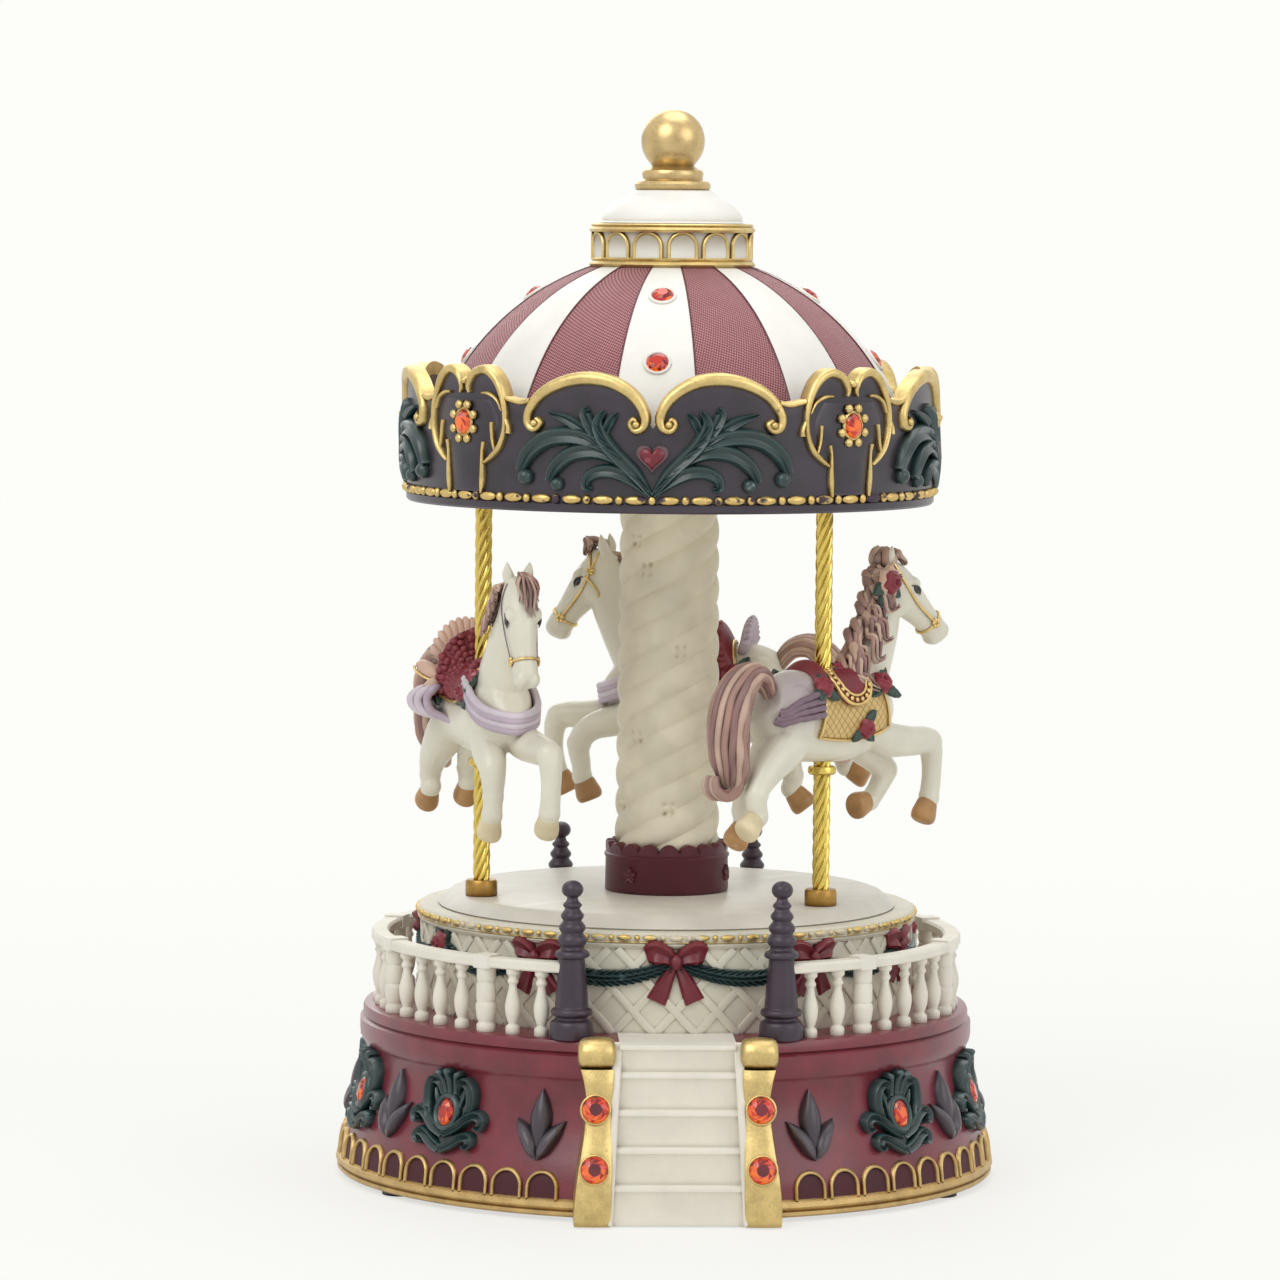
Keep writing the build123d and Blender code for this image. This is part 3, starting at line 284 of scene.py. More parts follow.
def turned(form, outline, sides, paint=0, swell=None, place=None, loop=False):
    """An outline of (radius, height) turned about the upright axis."""
    turns = full_turn(sides)
    rows = []
    for r, z in outline:
        radii = [r + swell(turn, z) if swell else r for turn in turns]
        rows.append([(radius * cos(turn), radius * sin(turn), z) for radius, turn in zip(radii, turns)])
    form.rows(rows, paint, loop, place=place)


def ball(form, centre, sizes, place, sides=14, rings=8, paint=0):
    """Egg with three half widths, nearly closed at its poles."""
    pole = pi / 2 - 0.1
    rows = []
    for j in range(rings + 1):
        tilt = pole * (2 * j / rings - 1)
        rows.append([(centre[0] + sizes[0] * cos(tilt) * cos(turn),
                      centre[1] + sizes[1] * cos(tilt) * sin(turn),
                      centre[2] + sizes[2] * sin(tilt)) for turn in full_turn(sides)])
    form.rows(rows, paint, place=place)


def strap(form, line, place, section=ROUND, sink=0.6, paint=0, loop=False):
    """Raised ribbon along (across, up, half width, height) points; its back is sunk in the wall."""
    last = len(line) - 1
    rows = []
    for k, (u, v, half, height) in enumerate(line):
        before = line[k - 1 if loop else max(k - 1, 0)]
        after = line[(k + 1) % (last + 1) if loop else min(k + 1, last)]
        du = after[0] - before[0]
        dv = after[1] - before[1]
        size = hypot(du, dv) or 1.0
        side = (-dv / size * half, du / size * half)
        row = [(u + side[0] * x, v + side[1] * x, height * h) for x, h in section]
        row += [(u + side[0] * x, v + side[1] * x, -sink) for x in (1, -1)]
        rows.append(row)
    form.rows(rows, paint, loop, place=place)


def rod(form, line, sides, place=None, paint=0, loop=False):
    """Round rod through (x, y, z, radius) points."""
    last = len(line) - 1
    side = None
    rows = []
    for k, (x, y, z, r) in enumerate(line):
        before = line[k - 1 if loop else max(k - 1, 0)]
        after = line[(k + 1) % (last + 1) if loop else min(k + 1, last)]
        along = (Vector(after[:3]) - Vector(before[:3])).normalized()
        side = side or along.orthogonal()
        side = (side - along * side.dot(along)).normalized()
        other = along.cross(side)
        rows.append([tuple(Vector((x, y, z)) + r * (side * cos(turn) + other * sin(turn)))
                     for turn in full_turn(sides)])
    form.rows(rows, paint, loop, place=place)


def rose(form, place, r):
    """Open rose: a low dome whose petals overlap in a spiral."""
    sides, tall = 28, 15
    rows = []
    for j in range(tall):
        t = j / (tall - 1)
        row = []
        for i, turn in enumerate(full_turn(sides)):
            petal = (2.7 * t + i / sides) % 1.0
            edge = 1 + 0.1 * cos(5 * turn + 2.0) * t
            lift = 0.78 * cos(t * pi / 2) ** 0.7 + 0.26 * petal * (1 - 0.5 * t)
            row.append((r * t * edge * cos(turn) + 1e-3, r * t * edge * sin(turn), r * lift))
        rows.append(row)
    rows.append([(0.8 * x, 0.8 * y, -0.4 * r) for x, y, _ in rows[-1]])
    form.rows(rows, place=place)


def leaf(form, place, length, width, turn, height=0.5):
    """Pointed leaf from its stem, with a sunk middle vein and a toothed edge."""
    steps = 9
    line = []
    for k in range(steps + 1):
        t = k / steps
        half = width / 2 * sin(pi * (0.08 + 0.9 * t)) ** 0.8 * (1 + 0.16 * (k % 2)) + 0.04
        line.append((length * t * sin(turn), length * t * cos(turn), half, height * (1 + 0.4 * sin(pi * t))))
    strap(form, line, place, VEINED, 0.35)


def stone(form, place, wide, high, tall, rim=0.34, table=0):
    """Cut oval stone in a ring of the second paint; its flat table may have a paint of its own."""
    sides = 12
    rings = ((1.0, -0.5), (1.0, 0.12), (0.78, 0.66), (0.46, 1.0))
    rows = []
    for j, (size, lift) in enumerate(rings):
        turns = full_turn(sides, 0.5 * (j % 2))
        rows.append([(wide * size * cos(t), high * size * sin(t), tall * lift) for t in turns])
    form.rows(rows, place=place)
    form.paints[-1] = table
    across, up = wide + 0.3 * rim, high + 0.3 * rim
    setting = [(across * cos(t), up * sin(t), 0.1 * tall, rim) for t in full_turn(24)]
    rod(form, setting, 8, place, 1, loop=True)


# Finishes

def shade(red, green, blue):
    """Linear colour of a paint given as it looks on a screen, 0 to 255."""
    parts = [c / 255 for c in (red, green, blue)]
    return (*[c / 12.92 if c <= 0.04045 else ((c + 0.055) / 1.055) ** 2.4 for c in parts], 1.0)


class Value:
    """A shader socket that takes part in Python sums; each sum adds a Math node."""

    def __init__(self, nodes, socket):
        self.nodes = nodes
        self.socket = socket

    def math(self, kind, *others, clamp=False):
        settings = {"operation": kind, "use_clamp": clamp}
        return self.nodes.node("ShaderNodeMath", settings, dict(enumerate([self, *others])))

    def __add__(self, other):
        return self.math("ADD", other)

    __radd__ = __add__

    def __mul__(self, other):
        return self.math("MULTIPLY", other)

    __rmul__ = __mul__

    def __sub__(self, other):
        return self.math("SUBTRACT", other)

    def __rsub__(self, other):
        return self * -1 + other

    def __truediv__(self, other):
        return self.math("DIVIDE", other)

    def soft(self, low, high):
        """0 below low, 1 above high, smooth between."""
        sockets = {"Value": self, "From Min": low, "From Max": high}
        return self.nodes.node("ShaderNodeMapRange", {"interpolation_type": "SMOOTHSTEP"}, sockets)


class Nodes:
    """The nodes of a material or of the world, all made by one method."""

    def __init__(self, tree):
        self.tree = tree

    def node(self, kind, settings=None, sockets=None, output=0):
        made = self.tree.nodes.new(kind)
        for key, setting in (settings or {}).items():
            setattr(made, key, setting)
        for key, value in (sockets or {}).items():
            self.feed(made.inputs[key], value)
        return Value(self, made.outputs[output])

    def feed(self, socket, value):
        if isinstance(value, Value):
            self.tree.links.new(value.socket, socket)
        else:
            socket.default_value = value

    def backdrop(self):
        """1 for rays that show the backdrop itself: from the camera, in metal and in glass."""
        seen = self.node("ShaderNodeLightPath", output="Is Camera Ray")
        rays = seen.socket.node.outputs
        mirrored_rays = Value(self, rays["Is Glossy Ray"]) + Value(self, rays["Is Transmission Ray"])
        return seen.math("ADD", mirrored_rays, clamp=True)


class Finish(Nodes):
    """One procedural material on a Principled shader."""

    def __init__(self, name, constants=None):
        self.material = bpy.data.materials.new(name)
        self.material.use_nodes = True
        super().__init__(self.material.node_tree)
        self.shader = self.tree.nodes["Principled BSDF"]
        for key, constant in (constants or {}).items():
            self.shader.inputs[key].default_value = constant

    def spot(self):
        return self.node("ShaderNodeTexCoord", output="Object")

    def split(self, vector):
        made = self.node("ShaderNodeSeparateXYZ", None, {"Vector": vector}).socket.node
        return [Value(self, made.outputs[axis]) for axis in "XYZ"]

    def noise(self, size, detail=2.0):
        """Cloudy value, 0 to 1, with spots of about that size in millimetres."""
        sockets = {"Vector": self.spot(), "Scale": 1 / (size * MM), "Detail": detail}
        return self.node("ShaderNodeTexNoise", None, sockets)

    def hollows(self, depth):
        """Painted shade mask: 1 in corners and grooves up to about that depth in millimetres, 0 on open
        faces.
        """
        sky = self.node("ShaderNodeAmbientOcclusion", {"samples": 6}, {"Distance": depth * MM}, "AO")
        return (1 - sky).soft(0.18, 0.75)

    def ridges(self):
        """1 on sharp raised edges."""
        return self.node("ShaderNodeNewGeometry", output="Pointiness").soft(0.53, 0.64)

    def mix(self, first, second, share):
        settings = {"data_type": "RGBA", "clamp_factor": True}
        return self.node("ShaderNodeMix", settings, {0: share, 6: first, 7: second}, 2)

    def bump(self, height, depth):
        """Feeds the shader's normal from a height of 0 to 1 that stands for that depth in millimetres."""
        normal = self.node("ShaderNodeBump", None, {"Height": height, "Distance": depth * MM})
        self.feed(self.shader.inputs["Normal"], normal)

    def set(self, **values):
        for key, value in values.items():
            self.feed(self.shader.inputs[key.replace("_", " ").title()], value)
        return self.material


def tint(colour, factor):
    return (*[min(c * factor, 1.0) for c in colour[:3]], 1.0)


def painted(name, colour, wash, rub, rough, depth=1.4, wash_share=0.75, rub_share=0.35, mottle=0.12,
            coat=0.0, misted=None):
    """Hand-painted resin: cloudy paint, a dark wash in the hollows that also stands in for their shade, a
    paler rub on raised edges that is partly a painted highlight.

    Misted is a place, a colour sprayed round it and how far the spray reaches.
    """
    colour, wash, rub = [shade(*c) for c in (colour, wash, rub)]
    f = Finish(name, {"Coat Weight": coat, "Coat Roughness": 0.2})
    cloud = f.noise(7.0, 3.0)
    grain = f.noise(0.45, 2.0)
    paint = f.mix(tint(colour, 1 - mottle), tint(colour, 1 + mottle), cloud.soft(0.3, 0.7))
    if misted:
        centre, spray, far = misted
        away = f.node("ShaderNodeVectorMath", {"operation": "DISTANCE"},
                      {0: f.spot(), 1: tuple(c * MM for c in centre)}, "Value")
        paint = f.mix(paint, spray, (1 - away.soft(0.2 * far * MM, far * MM)) * (0.6 + 0.4 * cloud))
    # Dark wash in corners and grooves, which is also painted shade
    paint = f.mix(paint, wash, f.hollows(depth) * wash_share * (0.7 + 0.5 * cloud))
    # Paler rub on raised edges: partly rubbed paint, partly a painted highlight
    paint = f.mix(paint, rub, f.ridges() * rub_share)
    f.bump(grain, 0.035)
    return f.set(base_color=paint, roughness=rough - 0.06 + 0.12 * grain + 0.05 * cloud)


def gilded(name, colour, under, wear, rough=0.3, depth=1.6, brush=0.05):
    """Gold paint: bright metal with brush marks, darkened in the hollows as painted shade, worn through in
    places.
    """
    colour, under = shade(*colour), shade(*under)
    f = Finish(name, {"Metallic": 1.0})
    patches = f.noise(3.2, 4.0)
    grain = f.noise(0.5, 3.0)
    worn = patches.soft(0.72 - wear, 0.80 - wear)
    gold = f.mix(tint(colour, 0.74), tint(colour, 1.1), (0.4 * grain + 0.8 * patches).soft(0.3, 0.85))
    # Painted shade: corners and grooves take a dark tone of the under colour
    gold = f.mix(gold, tint(under, 0.7), f.hollows(depth) * 0.78)
    f.bump(grain + 0.6 * patches, brush)
    return f.set(base_color=f.mix(gold, under, worn), metallic=0.96 - 0.9 * worn,
                 roughness=rough + 0.16 * grain + 0.22 * worn)


# What the tones of the hair, the hooves and the sashes share: all of a paint but its colour
HAIR = ((66, 38, 42), (234, 214, 198), 0.46, dict(depth=1.5, wash_share=0.9, rub_share=0.5, mottle=0.2))
HOOF = ((120, 82, 48), (232, 206, 160), 0.36, dict(mottle=0.16))
SASH = ((140, 118, 138), (240, 232, 236), 0.42, dict(depth=2.0))
# Paints: colour, wash in the hollows that is also painted shade, rub on raised edges that is partly a painted
# highlight, roughness, and what else differs
PAINTS = {
    "burgundy_paint": ((118, 37, 51), (58, 16, 26), (168, 98, 104), 0.34, dict(mottle=0.18, coat=0.3)),
    "dark_burgundy_paint": ((82, 15, 32), (34, 6, 14), (126, 58, 70), 0.36, {}),
    "ribbon_paint": ((114, 30, 44), (50, 10, 20), (166, 86, 94), 0.34, dict(rub_share=0.5)),
    # the dark fill of the foot arches: painted shade
    "niche_painted_shade": ((66, 11, 24), (28, 5, 11), (92, 36, 46), 0.6, {}),
    "cream_paint": ((238, 233, 218), (150, 142, 122), (250, 248, 240), 0.45,
                    dict(mottle=0.04, wash_share=0.7)),
    "drum_paint": ((222, 217, 198), (132, 124, 104), (246, 243, 232), 0.45,
                   dict(depth=1.0, mottle=0.05, wash_share=0.85)),
    "column_paint": ((236, 228, 205), (160, 142, 108), (246, 241, 224), 0.5,
                     dict(depth=1.6, mottle=0.07, wash_share=0.9)),
    "table_paint": ((222, 217, 204), (160, 150, 132), (250, 248, 242), 0.38, dict(mottle=0.05, coat=0.12)),
    "purple_paint": ((45, 36, 49), (24, 18, 28), (130, 116, 132), 0.36,
                     dict(depth=3.0, mottle=0.3, coat=0.25)),
    "tulip_paint": ((56, 46, 56), (22, 16, 24), (156, 146, 154), 0.34, dict(rub_share=0.85, coat=0.25)),
    "post_paint": ((58, 44, 58), (24, 16, 26), (120, 102, 120), 0.34, {}),
    "green_paint": ((25, 51, 52), (6, 18, 20), (138, 164, 164), 0.3, dict(rub_share=0.4, coat=0.25)),
    "leaf_paint": ((44, 66, 58), (14, 26, 24), (110, 130, 116), 0.4, {}),
    "rose_paint": ((136, 34, 50), (50, 8, 20), (208, 134, 142), 0.4, dict(depth=1.0, rub_share=0.7)),
    "heart_paint": ((122, 30, 44), (64, 12, 22), (176, 100, 106), 0.3, {}),
    "heart_rim_paint": ((112, 86, 94), (54, 34, 44), (150, 116, 122), 0.4, {}),
    "white_paint": ((250, 248, 240), (190, 182, 166), (255, 254, 250), 0.42, dict(mottle=0.025)),
    "niche_grey_paint": ((206, 200, 184), (120, 108, 86), (236, 232, 220), 0.5, {}),
    "horse_glaze": ((230, 226, 207), (160, 148, 128), (250, 248, 240), 0.34,
                    dict(depth=2.4, wash_share=0.55, rub_share=0.0, mottle=0.03, coat=0.2)),
    "hair_paint": ((158, 116, 104), *HAIR),
    "pale_hair_paint": ((196, 164, 144), *HAIR),
    "deep_hair_paint": ((124, 84, 82), *HAIR),
    "hoof_paint": ((178, 134, 84), *HOOF),
    "pale_hoof_paint": ((228, 212, 172), *HOOF),
    "eye_black": ((26, 24, 28), (8, 8, 10), (60, 58, 66), 0.12, dict(coat=0.6)),
    "saddle_red": ((122, 34, 46), (52, 10, 18), (182, 100, 108), 0.42, dict(rub_share=0.3)),
    "lavender_paint": ((192, 175, 190), *SASH),
    # pale copy of the lavender: a painted highlight on folds of cloth
    "pale_lavender_paint": ((216, 205, 214), *SASH),
    "mauve_paint": ((124, 102, 114), (72, 54, 66), (166, 146, 156), 0.45, {}),
    "peach_paint": ((222, 186, 164), (166, 120, 100), (240, 216, 200), 0.42, {}),
    "deep_stone": ((104, 12, 30), (40, 4, 12), (190, 50, 50), 0.12, dict(mottle=0.4, coat=0.5)),
}
# Gold paints: colour, what shows where they are worn and, darkened, in the hollows as painted shade, and what
# else differs
GILDINGS = {
    "bright_gold": ((214, 189, 128), (128, 98, 58), dict(wear=0.02, depth=2.0)),
    "rim_gold": ((200, 170, 116), (112, 80, 56), dict(wear=0.0, rough=0.36)),
    "bead_gold": ((220, 190, 122), (66, 50, 64), dict(wear=0.18, rough=0.32)),
    "drum_gold": ((214, 186, 118), (222, 212, 186), dict(wear=0.2, rough=0.35)),
    "tack_gold": ((228, 198, 134), (150, 114, 72), dict(wear=0.04, depth=0.8)),
    "finial_gold": ((204, 178, 128), (116, 88, 52), dict(wear=-0.2, rough=0.24, brush=0.004)),
    "pole_brass": ((222, 196, 104), (168, 136, 60), dict(wear=-0.4, rough=0.16, depth=0.9, brush=0.001)),
    "collar_brass": ((170, 132, 70), (110, 76, 36), dict(wear=0.05, rough=0.3, brush=0.015)),
}
# Metals of the movement: colour, roughness, stretch of the streaks
METALS = {
    "movement_brass": ((206, 168, 92), 0.24, 0.1),
    "steel": ((186, 188, 192), 0.26, 0.1),
    "casting": ((160, 160, 162), 0.44, 1.0),
}
SLOT_FINISH = {
    "burgundy_resin": "burgundy_paint", "cream_resin": "cream_paint", "dome_resin": "white_paint",
    "horse_resin": "horse_glaze", "purple_resin": "purple_paint", "green_resin": "green_paint",
    "gold_resin": "bright_gold", "cut_stone": "cut_stone", "pole_brass": "pole_brass",
    "movement_brass": "movement_brass", "steel": "steel", "die_casting": "casting",
    "fan_plastic": "fan_plastic", "felt": "soft_felt",
}


def arch_painted_shadow():
    """Painted shadow: grey under the head of an arch of the gallery, near white at its foot."""
    f = Finish("arch_painted_shadow")
    height = f.split(f.spot())[2]
    cloud = f.noise(3.0)
    head = height.soft((GALLERY_FOOT + 2.4) * MM, (GALLERY_FOOT + 6.4) * MM)
    # Painted shadow under the arch head, darker towards the top
    paint = f.mix(shade(242, 239, 230), shade(176, 168, 148), head * (0.8 + 0.4 * cloud))
    return f.set(base_color=paint, roughness=0.42 + 0.12 * cloud)


def horse_place(number):
    """Where a horse stands: (forward, left, up) points from its pole, at the height of the belly."""
    x, y = middle(f"pole_{number}")
    return shifted(x, y, BELLY_Z, atan2(y, x) * 180 / pi + 90)


def dappled_glaze():
    """The glaze of the horses, sprayed grey over the rump of the second one."""
    *colours, rough, rest = PAINTS["horse_glaze"]
    spray = (horse_place(2)((-13.0, -3.0, 15.0)), shade(172, 158, 166), 11.0)
    return painted("dappled_glaze", *colours, rough, misted=spray, **rest)


def saddle_cloth_gold():
    """Gold cloth with a fine diamond lattice drawn over it."""
    f = Finish("saddle_cloth_gold", {"Metallic": 0.35})
    x, y, z = f.split(f.spot())
    pitch = pi / 1.9
    along = (x * 0.66 + y * 0.75) / MM * pitch
    up = z / MM * pitch
    rising, falling = [lines.math("SINE").math("ABSOLUTE") for lines in (along + up, along - up)]
    drawn = 1 - rising.math("MINIMUM", falling).soft(0.05, 0.26)
    cloud = f.noise(2.5, 3.0)
    cloth = f.mix(shade(206, 172, 100), shade(234, 206, 144), cloud)
    f.bump(1 - drawn, 0.1)
    return f.set(base_color=f.mix(cloth, shade(150, 108, 58), drawn * 0.7), roughness=0.4 + 0.15 * cloud)


def woven_red():
    """Red cloth-like stripe: fine crossed threads, paler on top, partly pale thread and partly a painted
    highlight.
    """
    f = Finish("woven_red", {"Sheen Weight": 0.15})
    x, y, z = f.split(f.spot())
    around = y.math("ARCTAN2", x) * (DOME_R * 0.8)
    rise = z / MM
    thread = 2 * pi / 0.78
    warp = (around * thread + rise * (0.5 * thread)).math("SINE")
    weft = (rise * thread - around * (0.5 * thread)).math("SINE")
    weave = (warp * weft * 0.5 + 0.5).soft(0.1, 0.9)
    cloud = f.noise(6.0, 3.0)
    # Pale raised threads: partly the cloth's pale thread, partly a painted highlight
    colour = f.mix(shade(112, 30, 46), shade(210, 150, 152), weave * (0.6 + 0.5 * cloud))
    f.bump(weave, 0.12)
    return f.set(base_color=colour, roughness=0.52 + 0.1 * cloud)


def cut_stone():
    """Orange-red stone with painted light: each facet catches its own share of light, the lower facets are
    brighter and the stone glows a little.
    """
    # Emission Strength gives the stone a painted glow of its own
    f = Finish("cut_stone", {"Coat Weight": 0.4, "Coat Roughness": 0.03, "IOR": 1.5,
                             "Emission Strength": 0.1})
    normal = f.node("ShaderNodeNewGeometry", output="True Normal")
    step = (0.05, 0.05, 0.05)
    plane = f.node("ShaderNodeVectorMath", {"operation": "SNAP"}, {0: normal, 1: step})
    facet = f.node("ShaderNodeTexWhiteNoise", {"noise_dimensions": "3D"}, {"Vector": plane})
    # Painted light: facets that face down are brighter
    low = 0.5 - 0.5 * f.split(normal)[2]
    painted_facet_light = (0.6 * facet + 0.6 * low + 0.06).soft(0.2, 0.95)
    deep = f.mix(shade(128, 8, 10), shade(214, 36, 20), painted_facet_light.soft(0.0, 0.6))
    colour = f.mix(deep, shade(255, 120, 44), painted_facet_light.soft(0.66, 1.0))
    # The emission colour paints a glow that follows the painted facet light
    return f.set(base_color=colour, roughness=0.06 + 0.08 * facet,
                 emission_color=f.mix((0, 0, 0, 1), shade(255, 90, 20), painted_facet_light))


def plain_metal(name, colour, rough, streak):
    """Machined metal with fine streaks."""
    colour = shade(*colour)
    f = Finish(name, {"Metallic": 1.0})
    cloud = f.noise(4.0, 3.0)
    stretch = f.node("ShaderNodeMapping", None, {"Vector": f.spot(), "Scale": (streak, 1.0, 1.0)})
    lines = f.node("ShaderNodeTexNoise", None, {"Vector": stretch, "Scale": 900.0, "Detail": 3.0})
    f.bump(lines, 0.01)
    return f.set(base_color=f.mix(tint(colour, 0.82), tint(colour, 1.08), cloud),
                 roughness=rough + 0.2 * lines)


def soft_felt():
    f = Finish("soft_felt", {"Sheen Weight": 0.6})
    fibre = f.noise(0.25, 4.0)
    f.bump(fibre, 0.15)
    return f.set(base_color=f.mix(shade(34, 32, 34), shade(70, 66, 66), fibre), roughness=0.9 - 0.1 * fibre)


def fan_plastic():
    f = Finish("fan_plastic", {"Specular IOR Level": 0.4})
    cloud = f.noise(1.5, 3.0)
    f.bump(cloud, 0.02)
    return f.set(base_color=f.mix(shade(222, 218, 206), shade(240, 238, 230), cloud),
                 roughness=0.4 + 0.1 * cloud)


def all_finishes():
    """Every finish by its name."""
    made = {}
    for name, (*colours, rough, rest) in PAINTS.items():
        made[name] = painted(name, *colours, rough, **rest)
    for name, (colour, under, rest) in GILDINGS.items():
        made[name] = gilded(name, colour, under, **rest)
    for name, metal in METALS.items():
        made[name] = plain_metal(name, *metal)
    for make in (arch_painted_shadow, dappled_glaze, saddle_cloth_gold, woven_red, cut_stone, soft_felt, fan_plastic):
        made[make.__name__] = make()
    return made


FINISH = all_finishes()


def finish_frame():
    """Every CAD node gets the procedural finish of its slot."""
    for part in frame["record"]["subparts"]:
        slots = frame["nodes"][part["node"]].data.materials
        slots.clear()
        slots.append(FINISH[SLOT_FINISH[part["material_slot"]]])


# Base

def wall_radius():
    run = [(z, r) for r, z in flow(BASE_WALL)]
    return lambda z: between(run, z)


base_wall = wall_radius()


def base_body():
    """Hollow flared base with a stepped shoulder and a flat deck."""
    outer = [(BASE_R - 1.8, BASE_FOOT), (BASE_R - 1.5, BASE_FOOT + 0.4), (BASE_R - 1.5, RIM_TOP - 0.3)]
    outer += flow(BASE_WALL)
    outer += [(60.2, 31.3), (60.0, 31.5), (60.3, 31.8), (60.3, 33.2), (60.0, 33.8), (59.4, DECK_Z)]
    inner = [(DECK_HOLE_R, DECK_Z), (DECK_HOLE_R, DECK_UNDER), (CAVITY_R, DECK_UNDER), (CAVITY_R, BASE_FOOT)]
    form = Form()
    turned(form, outer + inner, 240, loop=True)
    form.piece("base_body", ["burgundy_paint"], "base", "burgundy_resin", "base_shell")


def foot_trim():
    """Gold double rim with a row of round arches above it; a dark plank in each arch is painted shade."""
    form = Form()
    r = BASE_R - 0.5
    rim = [(r - 1.4, 0.9), (r - 0.3, 0.9), (r + 0.1, 1.3), (r + 0.1, 1.9), (r - 0.25, 2.1), (r - 0.1, 2.3),
           (r + 0.35, 2.8), (r + 0.2, 3.6), (r - 0.5, 4.2), (r - 1.4, 4.4)]
    turned(form, rim, 240, loop=True)
    half, pillar = ARCH_W / 2, 1.4
    cord_half, cord_height = 0.4, 0.8
    line = [(-half, 0.0), (-half, pillar), *arc(0, ARCH_H - half + 0.1, half, 180, 0, 14), (half, pillar),
            (half, 0.0)]
    niche = [(0, 0.1, half - 0.3, 0.22), (0, 2.4, half - 0.35, 0.22), (0, 3.6, half - 0.7, 0.22),
             (0, 4.4, half - 1.5, 0.2), (0, 4.8, 0.4, 0.2)]
    for k in range(FOOT_ARCHES):
        turn = 360 * (k + 0.5) / FOOT_ARCHES
        if abs(abs(turn - 180) - 90) < 90 - STEPS_ROOM:
            place = on_wall(base_wall, FRONT + turn, RIM_TOP + 0.2)
            strap(form, [(u, v, cord_half, cord_height) for u, v in line], place)
            # Dark plank in each arch: painted shade where the recess would be in shadow
            strap(form, flow(niche, 3), place, PLANK, paint=1)
    form.piece("foot_trim", ["rim_gold", "niche_painted_shade"], "base", "gold_resin")


def tulip(form, place):
    """Pointed middle petal between two spreading leaves."""
    spread = [(0.1, -7.2, 0.3, 0.6), (1.1, -5.2, 1.5, 2.1), (2.4, -3.0, 1.7, 2.4), (4.0, -1.0, 1.2, 1.9),
              (5.5, 0.7, 0.06, 0.5)]
    petal = [(0, -5.4, 1.2, 1.0), (0, -2.0, 2.0, 1.9), (0, 1.2, 2.4, 2.3), (0, 4.2, 1.6, 1.9),
             (0, 7.0, 0.08, 0.5)]
    for side in (place, mirrored(place)):
        strap(form, flow(spread, 5), side)
    strap(form, flow(petal, 5), place)


def tulips():
    form = Form()
    for turn in TULIP_TURNS:
        for side in (1, -1):
            tulip(form, scaled(on_wall(base_wall, FRONT + side * turn, MEDALLION_Z - 0.4), 0.92, 0.92))
    form.piece("tulips", ["tulip_paint"], "base", "purple_resin")


def medallion(form, place):
    """Acanthus shell: hood and fingers above an oval seat, two pairs of curled arms below it."""
    shell = [(0, -8.0, 1.2, 0.8), (0, -4.0, 3.4, 1.0), (0, 0, 4.4, 1.1), (0, 4.0, 4.2, 1.1),
             (0, 7.2, 2.6, 0.9)]
    seat = [(2.7 * cos(t), 3.7 * sin(t), 1.0, 2.1) for t in full_turn(24)]
    hood = [(0, 3.8, 0.8, 1.6), (0, 7.2, 1.0, 2.3), (0, 9.4, 0.9, 2.8), (0, 10.2, 0.4, 1.8)]
    fingers = (
        [(1.3, 4.2, 0.8, 1.5), (1.8, 7.2, 0.95, 2.2), (2.5, 8.9, 0.85, 2.6), (2.9, 9.6, 0.4, 1.6)],
        [(3.0, 1.2, 0.6, 1.5), (3.6, 3.4, 0.8, 1.7), (4.0, 5.0, 0.5, 1.5)],
    )
    arms = (
        [(1.7, 3.8, 0.8, 1.5), (2.6, 6.4, 1.1, 2.2), (4.2, 7.2, 1.2, 2.5), (5.6, 5.6, 1.2, 2.4),
         (5.9, 2.4, 1.2, 2.2), (5.2, -0.6, 1.1, 2.0), (3.8, -3.2, 0.9, 1.7)],
        [(0.0, -5.2, 1.1, 1.8), (2.8, -3.6, 1.3, 2.2), (5.4, -1.2, 1.3, 2.3), (7.6, -0.2, 1.3, 2.3),
         (9.1, -1.2, 1.1, 2.2), (8.8, -2.9, 0.9, 2.0), (7.7, -2.6, 0.7, 1.8)],
        [(0.0, -8.6, 1.2, 1.7), (2.5, -7.2, 1.35, 2.1), (4.7, -5.6, 1.3, 2.2), (6.6, -5.2, 1.2, 2.2),
         (7.4, -6.5, 1.0, 2.0), (6.6, -7.5, 0.8, 1.8), (5.9, -6.9, 0.6, 1.7)],
    )
    strap(form, flow(shell, 4), place)
    strap(form, seat, place, loop=True)
    strap(form, flow(hood, 4), place)
    for side in (place, mirrored(place)):
        for line in fingers:
            strap(form, flow(line, 4), side)
        for line in arms:
            strap(form, flow(line, 5), side, VEINED)


def medallions():
    form = Form()
    stones = Form()
    for turn in MEDALLION_TURNS:
        for side in (1, -1):
            medallion(form, scaled(on_wall(base_wall, FRONT + side * turn, MEDALLION_Z), 0.96, 0.82))
            seat = on_wall(lambda z: base_wall(z) + 1.2, FRONT + side * turn, MEDALLION_Z)
            stone(stones, seat, 1.95, 2.85, 1.3)
    form.piece("medallions_carved", ["green_paint"], "base", "green_resin", "medallions")
    stones.piece("base_stones", ["cut_stone", "green_paint"], "base", "cut_stone", "base_gems", crease=12)


